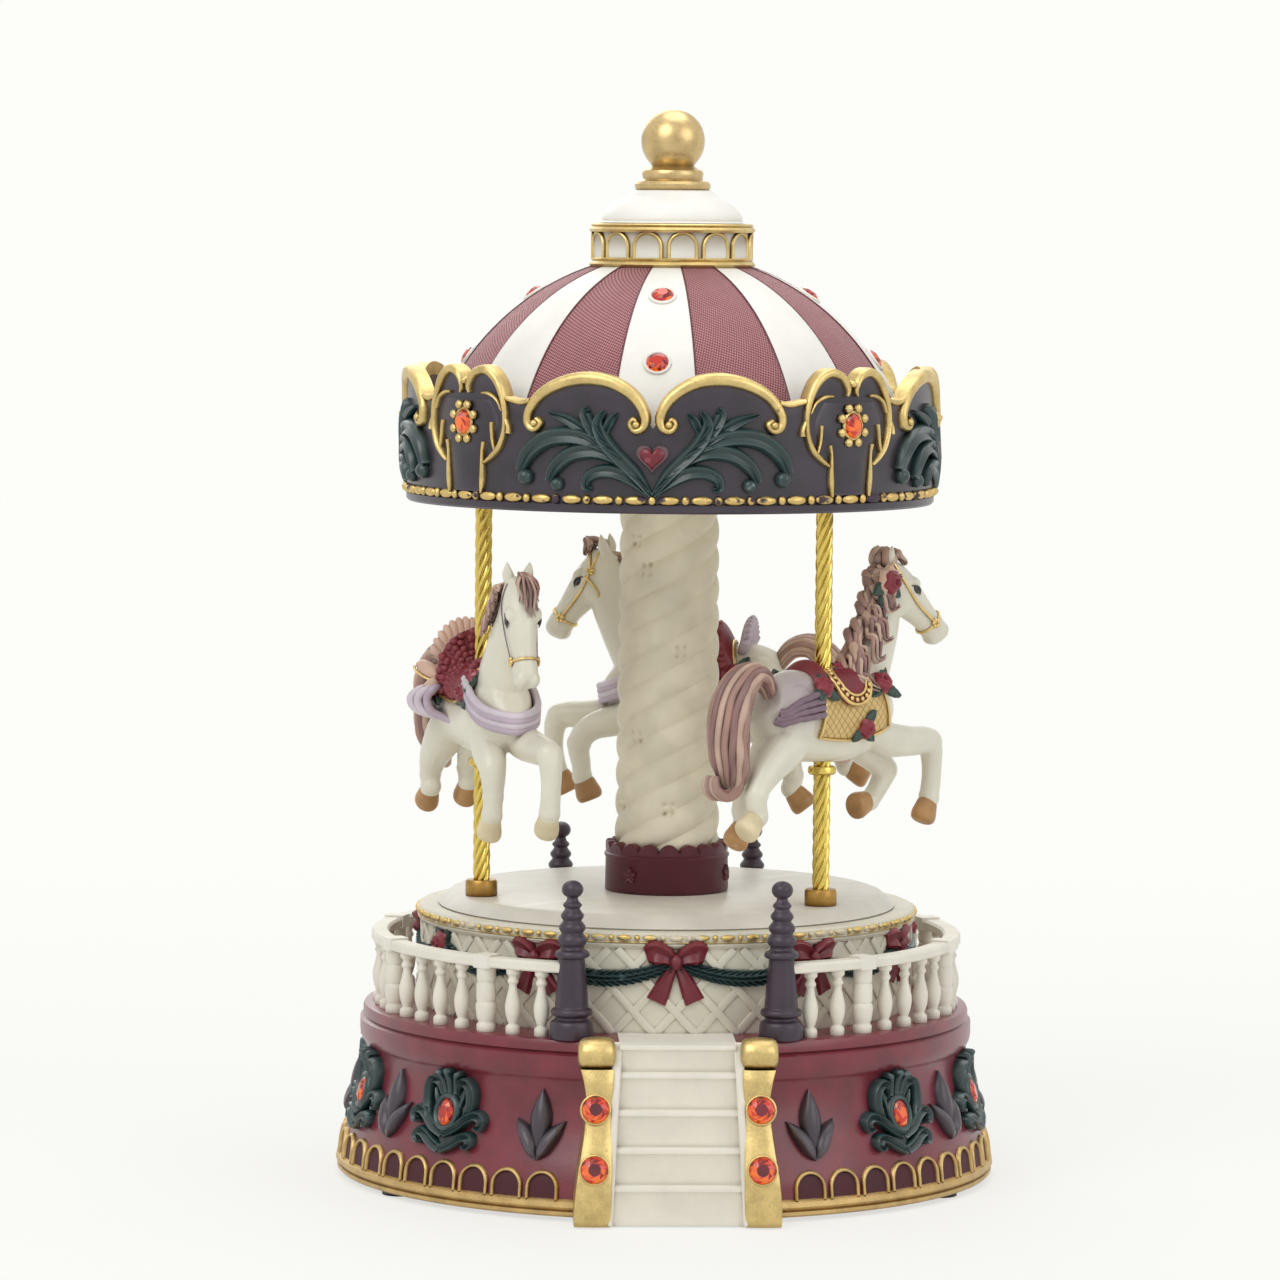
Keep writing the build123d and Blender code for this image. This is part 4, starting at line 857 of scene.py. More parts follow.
def stairs(name, node, turn):
    """Steps with rounded noses between two thin cheeks."""
    form = Form()
    place = round_front(turn)
    steps = len(STEP_TOPS)
    for k, z in enumerate(STEP_TOPS):
        face_y = -(STAIR_FRONT - STEP_TREAD * k)
        low = STAIR_FOOT if k == 0 else STEP_TOPS[k - 1] - 0.6
        half = STAIR_W / 2 - STEP_NARROW * k
        riser, heel = face_y + 0.6, face_y + STEP_TREAD + 2.5
        outline = [(riser, low), (riser, z - 1.5), (face_y + 0.35, z - 1.15), (face_y + 0.05, z - 1.0),
                   (face_y, z - 0.6), (face_y + 0.2, z - 0.15), (face_y + 0.7, z), (heel, z), (heel, low)]
        rows = [[(x, y, h) for y, h in outline] for x in (-half, -half / 2, 0, half / 2, half)]
        form.rows(rows, place=place)
    half = STAIR_W / 2 - STEP_NARROW * (steps - 1)
    landing = [(-half, -LANDING_FRONT), (half, -LANDING_FRONT), (half, -LANDING_BACK), (-half, -LANDING_BACK)]
    rows = [[(x, y, z) for x, y in landing] for z in (DECK_Z - 0.5, DECK_Z + 0.25)]
    form.rows(rows, place=place)
    back = -(STAIR_FRONT - STEP_TREAD * (steps - 1)) + 1.5
    cheek = ((STAIR_NARROW, -0.5, 0.25), (STAIR_NARROW, -0.25, 0.0), (STEP_NARROW, 0.2, 0.0),
             (STEP_NARROW, 0.45, 0.25))
    for side in (1, -1):
        rows = []
        for narrow, inset, edge in cheek:
            line = [(-(STAIR_FRONT + 0.9 - edge), STAIR_FOOT + 0.3)]
            line += [(-(STAIR_FRONT + 0.9 - edge - STEP_TREAD * k), z + 0.5 - edge)
                     for k, z in enumerate(STEP_TOPS[:-1])]
            line += [(back, DECK_Z + 0.3 - edge), (back, STAIR_FOOT + 0.3)]
            row = []
            for y, z in line:
                rise = (z - BASE_FOOT) / (DECK_Z - BASE_FOOT)
                half = STAIR_W / 2 - narrow * (steps - 1) * rise
                row.append((side * (half - inset), y, z))
            rows.append(row)
        form.rows(rows, place=place)
    form.piece(name, ["cream_paint"], "base", "cream_resin", node)


def scroll_line():
    """Front of a stair scroll: distance from the axis, height, half width."""
    return flow([(69.3, STAIR_FOOT + 0.1, 3.5), (70.0, 4.0, 3.55), (69.9, 9.0, 3.35), (68.6, 14.0, 2.95),
                 (67.0, 19.0, 2.6), (66.2, 23.5, 2.5), (66.0, 27.0, 2.8), (65.2, 29.6, 3.2)], 5)


def stair_scrolls():
    """Four gold S scrolls that end in a roll, each with two stones."""
    form = Form()
    stones = Form()
    section = ((-1, -0.9), (-0.97, -0.35), (-0.8, -0.05), (-0.4, 0.12), (0, 0.18), (0.4, 0.12), (0.8, -0.05),
               (0.97, -0.35), (1, -0.9))
    roll = [(0.4, -3.6), (1.6, -3.55), (2.5, -3.2), (2.95, -2.5), (3.15, -1.2), (3.2, 0), (3.15, 1.2),
            (2.95, 2.5), (2.5, 3.2), (1.6, 3.55), (0.4, 3.6)]
    for turn in (0, 180):
        spin = round_front(turn)
        for side in (1, -1):
            def lean(x, d, z, side=side, spin=spin):
                inward = (z - STAIR_FOOT) * sin(radians(SCROLL_LEAN))
                return spin((side * (SCROLL_X - inward + x), -d, z))

            rows = []
            for d, z, half in scroll_line():
                waist = 0.8 * (half - 3.4)
                row = [lean(waist + half * x, d + h, z) for x, h in section]
                row += [lean(waist + half, SCROLL_BACK, z), lean(waist - half, SCROLL_BACK, z)]
                rows.append(row)
            form.rows(rows)
            rows = [[lean(x, ROLL_OUT + r * cos(t), ROLL_Z + r * sin(t)) for t in full_turn(32)]
                    for r, x in roll]
            form.rows(rows)
            for z, tilt in ((11.2, 0.18), (22.2, 0.2)):
                d = between([(height, dist) for dist, height, _ in scroll_line()], z)
                seat = facing(lean(0, d + 0.2, z), spin((0, -1, tilt)))
                stone(stones, seat, 2.65, 2.65, 1.5, rim=0.26, table=2)
    form.piece("stair_scrolls_gold", ["bright_gold"], "base", "gold_resin", "stair_scrolls")
    stones.piece("stair_stones", ["cut_stone", "bright_gold", "deep_stone"], "base", "cut_stone",
                 "stair_gems", crease=12)


def newel_posts():
    form = Form()
    outline = [(3.5, 0), (3.6, 0.5), (3.5, 2.6), (3.2, 3.3), (2.7, 3.7), (2.7, 4.2), (3.2, 4.5), (3.4, 5.0),
               (3.2, 5.6), (2.75, 5.9), (2.7, 6.6), (2.5, 9.5), (2.1, 14.8), (2.1, 15.3), (2.7, 15.6),
               (2.85, 16.1), (2.6, 16.7), (2.1, 17.0), (1.9, 17.6), (2.3, 18.2), (2.4, 19.0), (2.0, 19.8),
               (1.75, 20.2), (2.1, 20.8), (2.15, 21.5), (1.7, 22.2), (1.5, 22.6), (1.8, 23.1), (1.85, 23.7),
               (1.4, 24.4), (1.2, 24.9), (1.5, 25.3), (1.5, 25.7), (1.1, 26.2), (0.9, 26.7)]
    outline += arc(0, 28.5, 1.75, -58, 84, 12)
    outline = [(POST_GIRTH * r, DECK_Z + z) for r, z in flow(outline, 2)]
    y = sqrt(RAIL_R ** 2 - POST_X ** 2)
    for sx in (1, -1):
        for sy in (1, -1):
            turned(form, outline, 28, place=shifted(sx * POST_X, sy * y))
    form.piece("newel_posts_turned", ["post_paint"], "base", "purple_resin", "newel_posts", crease=60)


# Fence and drum

def rail_turns():
    """Turns from the front of the posts of one rail, and whether each is a pier."""
    span = 180 - 2 * RAIL_START
    return [(RAIL_START + span * k / RAIL_BAYS, k in PIER_BAYS) for k in range(1, RAIL_BAYS)]


def fence():
    """Curved rails on turned balusters with four wider piers a side."""
    rail = Form()
    posts = Form()
    piers = Form()
    under = RAIL_TOP - RAIL_H
    tall = under - DECK_Z
    span, steps = 180 - 2 * RAIL_START, 100
    vase = [(1.35, 0), (1.4, 0.06), (1.3, 0.12), (0.85, 0.15), (0.95, 0.18), (1.3, 0.27), (1.5, 0.38),
            (1.45, 0.48), (1.1, 0.6), (0.8, 0.7), (0.78, 0.76), (1.05, 0.79), (1.05, 0.83), (0.8, 0.86),
            (0.9, 0.9), (1.3, 0.93), (1.3, 1.02)]
    sturdy = [(1.8, 0), (1.85, 0.1), (1.5, 0.14), (1.8, 0.2), (2.0, 0.34), (2.0, 0.42), (1.7, 0.46),
              (1.9, 0.5), (1.9, 0.72), (1.65, 0.76), (1.85, 0.8), (1.85, 0.9), (1.9, 1.05)]
    half = RAIL_W / 2
    section = [(-half, 0.25), (-half + 0.3, 0), (half - 0.3, 0), (half, 0.3), (half, RAIL_H - 0.5),
               (half - 0.4, RAIL_H), (-half + 0.4, RAIL_H), (-half, RAIL_H - 0.5)]
    for side in (1, -1):
        rows = []
        for k in range(steps + 1):
            turn = radians(FRONT + side * (RAIL_START + span * k / steps))
            rows.append([((RAIL_R + r) * cos(turn), (RAIL_R + r) * sin(turn), under + h) for r, h in section])
        rail.rows(rows)
        for turn, is_pier in rail_turns():
            place = on_wall(RAIL_R, FRONT + side * turn, DECK_Z)
            stand = shifted(*place((0, 0, 0)), FRONT + side * turn)
            if is_pier:
                turned(piers, [(r, t * tall) for r, t in flow(sturdy, 2)], 20, place=stand)
                block = [(0, tall - 0.2, 2.0, 2.05), (0, tall + RAIL_H + 0.35, 2.0, 2.05)]
                strap(rail, block, place, PLANK, 2.05)
            else:
                turned(posts, [(r, t * tall) for r, t in flow(vase, 2)], 18, place=stand)
    cream = ["cream_paint"]
    rail.piece("fence_rails", cream, "base", "cream_resin", "rail_left", "rail_right")
    posts.piece("fence_balusters", cream, "base", "cream_resin", "balusters", crease=60)
    piers.piece("fence_piers", cream, "base", "cream_resin", "rail_piers", crease=60)


def bead_row(form, radius, z, count, bead, reel, turn=0.0):
    """Round beads and long reels in turn round a wall."""
    for k in range(count):
        place = on_wall(radius, turn + 360 * k / count, z)
        ball(form, (0, 0, 0), (0.85 * bead, bead, 0.9 * bead), place, 10, 6)
        place = on_wall(radius, turn + 360 * (k + 0.5) / count, z)
        ball(form, (0, 0, 0), (reel, bead * 0.95, 0.85 * bead), place, 12, 8)


def lattice_drum():
    """Cream drum: diamond lattice, plate on top, plain rim under the gold beads."""
    low, high = DECK_Z, DRUM_TOP - 3.2
    form = Form()
    wall = DRUM_WALL_R
    hole, under = 4.0, DRUM_TOP - 3.0
    outline = [(wall, low), (wall, high), (wall + 0.7, high + 0.4), (wall + 1.0, high + 0.9),
               (wall + 0.7, high + 1.3), (wall + 0.9, DRUM_TOP - 0.4), (wall + 0.5, DRUM_TOP),
               (hole, DRUM_TOP), (hole, under), (DECK_HOLE_R, under), (DECK_HOLE_R, low)]
    turned(form, outline, 200, loop=True)
    pitch = 2 * pi * wall / LATTICE_COUNT
    tall = high - low
    slat_half, slat_lean, steps = 0.85, 1.9, 6
    for k in range(LATTICE_COUNT):
        place = on_wall(wall, 360 * k / LATTICE_COUNT, low)
        for side, height in ((1, 0.34), (-1, 0.5)):
            line = [(side * pitch * slat_lean * t / steps, tall * t / steps, slat_half, height)
                    for t in range(steps + 1)]
            strap(form, line, place, SLAT, 0.3)
    form.piece("drum_wall", ["drum_paint"], "base", "cream_resin", "lattice_drum")
    beads = Form()
    bead_row(beads, wall + 0.9, DRUM_TOP - 0.9, 62, 0.62, 1.45)
    rim = [(wall + 0.6, DRUM_TOP - 1.95), (wall + 1.1, DRUM_TOP - 1.85), (wall + 0.9, DRUM_TOP - 1.65),
           (wall + 0.5, DRUM_TOP - 1.7)]
    turned(beads, rim, 200, loop=True)
    beads.piece("drum_beads", ["drum_gold"], "base", "gold_resin")


def bow(form, place):
    """Ribbon bow: two puffed loops, a knot and two broad forked tails."""
    puff = [(0.2, 0.2, 0.9, 1.6), (1.8, 1.2, 1.8, 2.5), (3.6, 1.7, 2.3, 2.3), (5.1, 1.3, 1.7, 1.0)]
    tail = [(0.3, -0.4, 0.7, 1.2), (1.4, -2.6, 1.2, 1.4), (2.4, -4.8, 1.6, 1.3), (3.3, -6.8, 1.9, 0.9)]
    for side in (place, mirrored(place)):
        for line in (puff, tail):
            strap(form, flow(line, 4), side, VEINED)
    ball(form, (0, 0.1, 1.2), (1.15, 1.4, 1.4), place)


def garland(form, turn, span, z, drop):
    """Rope of small leaves that hangs between two bows."""
    count = 20
    place = on_wall(DRUM_WALL_R, turn, z)
    for k in range(count):
        t = (k + 0.5) / count
        sag = drop * (1 - (2 * t - 1) ** 2)
        slope = drop * 4 * (1 - 2 * t) / span
        fat = 0.68 + 0.3 * sin(pi * t)
        for side in (1, 0, -1):
            lift = side * 1.15 * fat
            along = span * t + 0.3 * side
            blade = [(along - 1.3, -sag + lift * 0.3 + slope, 0.3, 0.9),
                     (along + 0.1, -sag + lift * 0.7, 0.8 * fat, 1.5 - 0.4 * abs(side)),
                     (along + 1.5, -sag + lift * 1.35 - slope, 0.15, 1.2)]
            strap(form, flow(blade, 2), place, VEINED, 0.3)


def drum_dressing():
    """Bows and roses with green swags between them."""
    ribbons = Form()
    greens = Form()
    blooms = Form()
    z = DRUM_TOP - 5.6
    step = 360 / BOW_COUNT
    span = 2 * pi * DRUM_WALL_R / BOW_COUNT
    for k in range(BOW_COUNT):
        turn = FRONT + step * k
        place = on_wall(DRUM_WALL_R, turn, z)
        garland(greens, turn, span, z, 3.3)
        if k % 2 == 0 or k in (1, BOW_COUNT - 1):
            size = FRONT_BOW_SIZE if k == 0 else 1.0
            bow(ribbons, scaled(place, size, size))
        else:
            rose(blooms, on_wall(DRUM_WALL_R + 0.3, turn, z), 2.5)
            for bend in (-1.9, -0.7, 0.8, 2.1):
                leaf(greens, place, 4.2, 2.2, bend, 0.8)
    ribbons.piece("drum_bows", ["ribbon_paint"], "base", "burgundy_resin")
    greens.piece("drum_garlands", ["green_paint"], "base", "green_resin")
    blooms.piece("drum_roses", ["rose_paint"], "base", "burgundy_resin")


# Turning platform

def turntable():
    form = Form()
    low = foot("turntable")
    hole = 2.7
    outline = [(hole, low), (TABLE_R - 1.0, low), (TABLE_R - 0.3, low + 0.2), (TABLE_R, low + 0.6),
               (TABLE_R - 0.3, low + 0.9), (TABLE_R - 2.4, FLOOR_Z - 0.3), (TABLE_R - 3.2, FLOOR_Z),
               (hole, FLOOR_Z)]
    turned(form, outline, 220, loop=True)
    form.piece("turntable_disc", ["table_paint"], "carousel", "cream_resin", "turntable")


def column():
    """Twisted column with small flowers pressed in it."""
    low, high = FLOOR_Z, CEILING_Z
    starts, lead, groove, sharpness = 5, 28.5, 0.85, 2.2
    lower_r, upper_r = reach("column"), reach("column") - 0.7
    dot_aside, dot_depth, dot_spread, flower_room = 0.9, 0.6, 0.22, 2.4
    flowers = ((-77, 104.6), (-132, 87.5), (-90, 73.4), (-121, 120.7), (-137, 126.5), (-20, 92), (20, 118),
               (55, 78), (95, 106), (140, 90), (185, 116), (200, 74))

    def pressed(turn, z):
        """Depth of the four dots of a flower pressed in the wall."""
        depth = 0.0
        for flower_turn, flower_z in flowers:
            up = abs(z - flower_z)
            across = abs((turn - radians(flower_turn) + pi) % (2 * pi) - pi) * lower_r
            if up < flower_room and across < flower_room:
                depth += dot_depth * exp(-((across - dot_aside) ** 2 + (up - dot_aside) ** 2) / dot_spread)
        return depth

    def twist(turn, z):
        strand = 2 * (starts * (z / lead - turn / (2 * pi)) % 1.0) - 1
        return -0.05 - groove * abs(strand) ** sharpness - pressed(turn, z)

    form = Form()
    steps = 320
    outline = [(lower_r + (upper_r - lower_r) * k / steps - 0.05, low + (high - low) * k / steps)
               for k in range(steps + 1)]
    turned(form, outline, 224, swell=twist)
    form.piece("column_twisted", ["column_paint"], "carousel", "cream_resin", "column")


def column_collar():
    """Ring round the foot of the column with a scalloped top and a ridge under it."""
    low, high, r = FLOOR_Z, top("column_collar"), reach("column_collar")
    scallops, sides = 18, 216
    rows = []
    for turn in full_turn(sides):
        edge = abs(sin(scallops * turn / 2)) ** 0.6
        rim = high - 1.5 + 1.5 * edge
        outline = [(r - 1.9, low), (r - 0.2, low), (r, low + 0.4), (r - 0.1, high - 3.4),
                   (r + 0.15, high - 3.0), (r + 0.15, high - 2.6), (r - 0.2, high - 2.3),
                   (r - 0.1, rim - 0.3), (r - 0.4, rim), (r - 1.9, rim)]
        rows.append([(radius * cos(turn), radius * sin(turn), z) for radius, z in outline])
    form = Form()
    form.rows(rows, loop=True)
    for turn in (-129, -18, 103):
        place = on_wall(r - 0.1, turn, low + 3.7)
        for bend in full_turn(5):
            leaf(form, place, 1.7, 1.2, bend, 0.4)
        ball(form, (0, 0, 0.25), (0.45, 0.45, 0.35), place, 8, 6)
    form.piece("column_collar_scalloped", ["dark_burgundy_paint"], "carousel", "burgundy_resin",
               "column_collar")


def poles():
    """Twisted brass poles, their floor ferrules and the collars under the horses."""
    lead, starts, sides, steps = 17.6, 6, 60, 160
    turns = full_turn(sides)
    radii = [POLE_R - 0.3 + 0.4 * abs(cos(starts / 2 * turn)) for turn in turns]
    ferrules = Form()
    collars = Form()
    ferrule_top, collar_foot, bore = top("pole_ferrules"), foot("belly_collars"), POLE_R - 0.1
    for node in POLE_NODES:
        form = Form()
        low, high = foot(node), top(node)
        place = shifted(*middle(node))
        rows = []
        for k in range(steps + 1):
            z = low + (high - low) * k / steps
            spin = 2 * pi * z / lead
            rows.append([(r * cos(turn + spin), r * sin(turn + spin), z) for r, turn in zip(radii, turns)])
        form.rows(rows, place=place)
        form.piece(node + "_twisted", ["pole_brass"], "carousel", "pole_brass", node)
        ring = [(bore, FLOOR_Z), (3.0, FLOOR_Z), (3.15, FLOOR_Z + 0.2), (3.15, ferrule_top - 0.4),
                (2.9, ferrule_top), (bore, ferrule_top)]
        turned(ferrules, ring, 48, place=place, loop=True)
        ring = [(bore, collar_foot), (2.4, collar_foot), (2.75, collar_foot + 0.3), (2.75, BELLY_Z - 0.4),
                (2.5, BELLY_Z), (bore, BELLY_Z)]
        turned(collars, ring, 40, place=place, loop=True)
    ferrules.piece("ferrules_turned", ["collar_brass"], "carousel", "pole_brass", "pole_ferrules")
    collars.piece("collars_turned", ["pole_brass"], "carousel", "pole_brass", "belly_collars")


# Canopy

TOP_LINE = ((0, 14.0), (1.2, 15.8), (3.4, 19.4), (7.5, 22.1), (12.5, 23.0), (17.5, 22.3), (22.0, 20.3),
            (24.5, 18.9), (27.0, 18.3), (29.5, 18.6), (31.4, 20.6), (33.2, 22.8), (35.8, 24.2),
            (38.4, 23.6), (40.2, 22.0), (HALF_BAY, 21.6))


def valance_top():
    run = flow(TOP_LINE, 6)

    def height(along):
        along = abs((along + HALF_BAY) % (2 * HALF_BAY) - HALF_BAY)
        return between(run, along)
    return height


def valance_wall():
    """Purple wall with a waved top edge and a plain lip below the beads."""
    wave = valance_top()
    rows = []
    out, low, lip = VALANCE_R, VALANCE_FOOT, 3.4
    for turn in full_turn(960):
        rim = BEAD_Z + wave(turn * VALANCE_R) - 0.5
        outline = [(out - VALANCE_T, low), (out - 0.3, low), (out + 0.1, low + 0.4), (out + 0.2, low + 1.6),
                   (out - 0.1, low + 2.0)]
        outline += [(out, low + lip + (rim - low - lip) * s / 6) for s in range(7)]
        outline += [(out - VALANCE_T, rim)]
        angle = turn + radians(CANOPY_TURN)
        rows.append([(r * cos(angle), r * sin(angle), z) for r, z in outline])
    form = Form()
    form.rows(rows, loop=True)
    form.piece("valance_wall", ["purple_paint"], "carousel", "purple_resin", "valance")


def sides_of(turn):
    place = on_wall(VALANCE_R, turn, BEAD_Z)
    return place, mirrored(place)


def bay_turns():
    return [CANOPY_TURN + 90 * k for k in range(4)]


def valance_gold():
    """Gold arches with curled ends over each bay, and the cartouches between bays."""
    form = Form()
    arch = [(3.0, 14.6, 0.45, 1.2), (3.6, 15.4, 0.5, 1.3), (4.3, 14.4, 0.6, 1.3), (3.3, 13.2, 0.7, 1.4),
            (1.8, 13.9, 0.8, 1.4), (1.5, 16.0, 0.9, 1.3), (3.4, 19.4, 1.0, 1.2), (7.5, 22.1, 1.1, 1.2),
            (12.5, 23.0, 1.15, 1.2), (17.5, 22.2, 1.1, 1.2), (22.0, 20.0, 1.0, 1.2), (24.8, 16.6, 0.85, 1.3),
            (24.8, 14.0, 0.8, 1.4), (23.2, 13.2, 0.7, 1.4), (22.2, 14.4, 0.6, 1.3), (23.1, 15.2, 0.45, 1.2)]
    lobe = [(1.3, 19.7, 0.25, 1.0), (1.0, 21.2, 0.6, 1.2), (2.4, 23.4, 0.85, 1.2), (5.2, 24.2, 0.95, 1.1),
            (7.8, 22.8, 0.9, 1.1), (9.6, 20.0, 0.8, 1.1), (10.6, 16.5, 0.65, 1.2), (10.6, 13.0, 0.6, 1.2),
            (9.5, 9.8, 0.65, 1.2), (7.5, 7.7, 0.6, 1.2), (5.6, 6.4, 0.35, 1.0)]
    bridge = [(24.6, 18.6, 0.5, 0.8), (27.0, 18.2, 0.6, 0.7), (30.2, 18.8, 0.5, 0.8)]
    branches = (
        [(5.4, 10.4, 0.5, 1.1), (5.0, 8.5, 0.3, 1.0), (5.0, 5.4, 0.55, 1.1), (4.9, 2.8, 0.6, 1.1),
         (4.7, 0.5, 0.3, 0.9)],
        [(8.4, 8.4, 0.3, 0.9), (7.7, 10.6, 0.35, 1.0), (7.4, 13.0, 0.4, 1.0), (7.3, 14.2, 0.5, 0.9)],
        [(9.9, 16.4, 0.3, 0.9), (8.7, 18.5, 0.4, 1.0), (6.6, 19.6, 0.45, 1.0), (4.7, 19.7, 0.3, 0.8)],
        [(10.9, 15.0, 0.4, 1.0), (11.6, 13.4, 0.5, 1.2), (11.6, 12.2, 0.7, 1.3)],
    )
    for turn in bay_turns():
        for place in sides_of(turn):
            full = [(u, v, 1.15 * half, height) for u, v, half, height in flow(arch, 5)]
            strap(form, full, place, sink=VALANCE_T)
            for eye in ((3.1, 14.4, 0.9), (23.3, 14.3, 0.9)):
                ball(form, eye, (0.75, 0.75, 0.9), place, 10, 6)
            strap(form, flow(bridge, 4), place, sink=VALANCE_T)
        for place in sides_of(turn + 45):
            strap(form, flow(lobe, 5), place, sink=VALANCE_T)
            for branch in branches:
                strap(form, flow(branch, 4), place)
        centre = on_wall(VALANCE_R, turn + 45, BEAD_Z)
        ball(form, (0, 22.0, 0.2), (0.9, 0.8, 1.3), centre, 10, 6)
    form.piece("valance_gold_straps", ["bright_gold"], "carousel", "gold_resin")


def valance_green():
    """Acanthus sprays that grow from the middle of each bay."""
    form = Form()
    strokes = (
        [(0.2, 0.9, 0.3, 0.8), (3.3, 5.0, 0.9, 1.3), (7.0, 8.6, 1.0, 1.4), (9.4, 11.6, 1.0, 1.5),
         (10.4, 14.6, 0.8, 1.4), (9.2, 16.8, 0.3, 0.9)],
        [(8.0, 9.6, 0.6, 1.2), (11.2, 13.0, 0.9, 1.4), (13.0, 16.2, 0.7, 1.3), (12.4, 17.4, 0.3, 0.9)],
        [(8.4, 9.8, 0.5, 1.1), (12.0, 12.4, 0.9, 1.3), (16.2, 14.9, 0.7, 1.2), (20.4, 16.4, 0.12, 0.7)],
        [(10.4, 11.2, 0.4, 1.0), (15.2, 12.9, 0.6, 1.1), (19.6, 13.4, 0.12, 0.7)],
        [(6.0, 8.2, 0.5, 1.1), (10.2, 10.6, 0.9, 1.4), (15.4, 12.0, 1.15, 1.5), (20.6, 11.4, 1.2, 1.5),
         (24.6, 8.6, 1.05, 1.5), (26.4, 5.2, 0.6, 1.3)],
        [(3.6, 5.8, 0.5, 1.1), (7.4, 8.2, 0.9, 1.3), (11.2, 9.3, 1.05, 1.4), (15.6, 8.6, 1.05, 1.4),
         (18.8, 6.2, 0.9, 1.4), (20.2, 3.4, 0.5, 1.2)],
        [(0.8, 1.4, 0.4, 0.9), (4.0, 3.9, 0.8, 1.2), (7.2, 5.3, 0.9, 1.3), (10.2, 5.3, 0.85, 1.3),
         (12.4, 4.1, 0.7, 1.2), (12.8, 2.4, 0.5, 1.1), (11.6, 2.0, 0.3, 0.9)],
        [(9.0, 12.6, 0.4, 1.2), (8.0, 15.0, 0.6, 1.2), (6.6, 16.4, 0.15, 0.7)],
    )
    buds = ((25.4, 4.0, 1.6), (18.6, 2.8, 1.35))
    for turn in bay_turns():
        for place in sides_of(turn):
            for stroke in strokes:
                full = [(u, v, 1.5 * half + 0.1, 1.3 * height) for u, v, half, height in flow(stroke, 5)]
                strap(form, full, place, VEINED)
            for u, v, r in buds:
                ball(form, (u, v, 0.5), (r, r, r), place)
    form.piece("valance_acanthus", ["green_paint"], "carousel", "green_resin")


def heart_outline(size):
    return [(size * sin(t) ** 3, size * (13 * cos(t) - 5 * cos(2 * t) - 2 * cos(3 * t) - cos(4 * t)) / 16)
            for t in full_turn(40)]


def valance_hearts():
    """Puffed hearts on flat rims."""
    form = Form()
    rim = ((1.0, -0.5), (1.0, 0.5), (0.9, 0.8), (0.8, 0.8))
    pillow = ((1.0, 0.3), (1.0, 0.9), (0.85, 1.25), (0.5, 1.5), (0.1, 1.55))
    for turn in bay_turns():
        place = on_wall(VALANCE_R, turn, BEAD_Z + 8.2)
        for paint, size, rings in ((1, 3.1, rim), (0, 2.35, pillow)):
            rows = [[(s * u, s * v, h) for u, v in heart_outline(size)] for s, h in rings]
            form.rows(rows, paint, place=place)
    form.piece("valance_hearts", ["heart_paint", "heart_rim_paint"], "carousel", "burgundy_resin")


def valance_stones():
    """Orange stones in petal settings on the cartouches, with their raised middle panel."""
    stones = Form()
    panels = Form()
    shield = [(0, 0.8, 4.2, 0.7), (0, 5.0, 4.6, 1.0), (0, 9.0, 5.6, 0.9), (0, 14.0, 8.6, 0.5),
              (0, 18.5, 6.5, 0.3)]
    for turn in bay_turns():
        place = on_wall(VALANCE_R + 0.6, turn + 45, BEAD_Z + 14.1)
        stone(stones, place, 2.15, 2.5, 1.5)
        for bend in full_turn(8, 0.5):
            petal = (3.1 * sin(bend), 3.5 * cos(bend), 0.3)
            ball(stones, petal, (0.95, 0.95, 0.75), place, 8, 6, paint=1)
        strap(panels, flow(shield, 4), on_wall(VALANCE_R, turn + 45, BEAD_Z))
    stones.piece("valance_stones", ["cut_stone", "bright_gold"], "carousel", "cut_stone", "valance_gems",
                 crease=12)
    panels.piece("valance_panels", ["purple_paint"], "carousel", "purple_resin")


def valance_beads():
    form = Form()
    bead_row(form, VALANCE_R + 0.2, BEAD_Z, 52, 0.95, 2.15, CANOPY_TURN)
    form.piece("valance_beads", ["bead_gold"], "carousel", "gold_resin")


def dome():
    """Striped dome: eight smooth white stripes between eight woven red ones, with a thin dark rod of painted
    shadow along each stripe edge.
    """
    sides = 720
    start, end, steps = 3.0, sqrt(DOME_R ** 2 - (GALLERY_R - 2.0) ** 2), 44
    rises = [start + (end - start) * (k / steps) for k in range(steps + 1)]
    outline = [(sqrt(DOME_R ** 2 - h ** 2), DOME_Z + h) for h in rises]

    def away(turn):
        return abs((turn - CANOPY_TURN + 22.5) % 45 - 22.5)

    def swell(turn, z):
        return 0.0 if away(turn * 180 / pi) < STRIPE_TURN / 2 else -0.22

    form = Form()
    turned(form, outline, sides, lambda i, j: int(away((i + 0.5) * 360 / sides) > STRIPE_TURN / 2), swell)
    # Painted shadow: a thin dark rod along each edge of the red stripes
    for k in range(16):
        turn = radians(CANOPY_TURN + 45 * (k // 2) + (k % 2 * 2 - 1) * STRIPE_TURN / 2)
        shadow_line = [((r - 0.12) * cos(turn), (r - 0.12) * sin(turn), z, 0.2) for r, z in outline]
        rod(form, shadow_line, 6, paint=2)
    form.piece("dome_striped", ["white_paint", "woven_red", "dark_burgundy_paint"], "carousel", "dome_resin",
               "canopy_dome")
    stones = Form()
    for turn in bay_turns():
        for rise in (56.7, 35.5):
            up, out = sin(radians(rise)), cos(radians(rise))
            spot = (out * cos(radians(turn)), out * sin(radians(turn)), up)
            seat = [DOME_R * c for c in spot]
            seat[2] += DOME_Z
            stone(stones, facing(seat, spot), 2.3, 2.3, 1.1)
    stones.piece("dome_stones", ["cut_stone", "white_paint"], "carousel", "cut_stone", "dome_gems", crease=12)


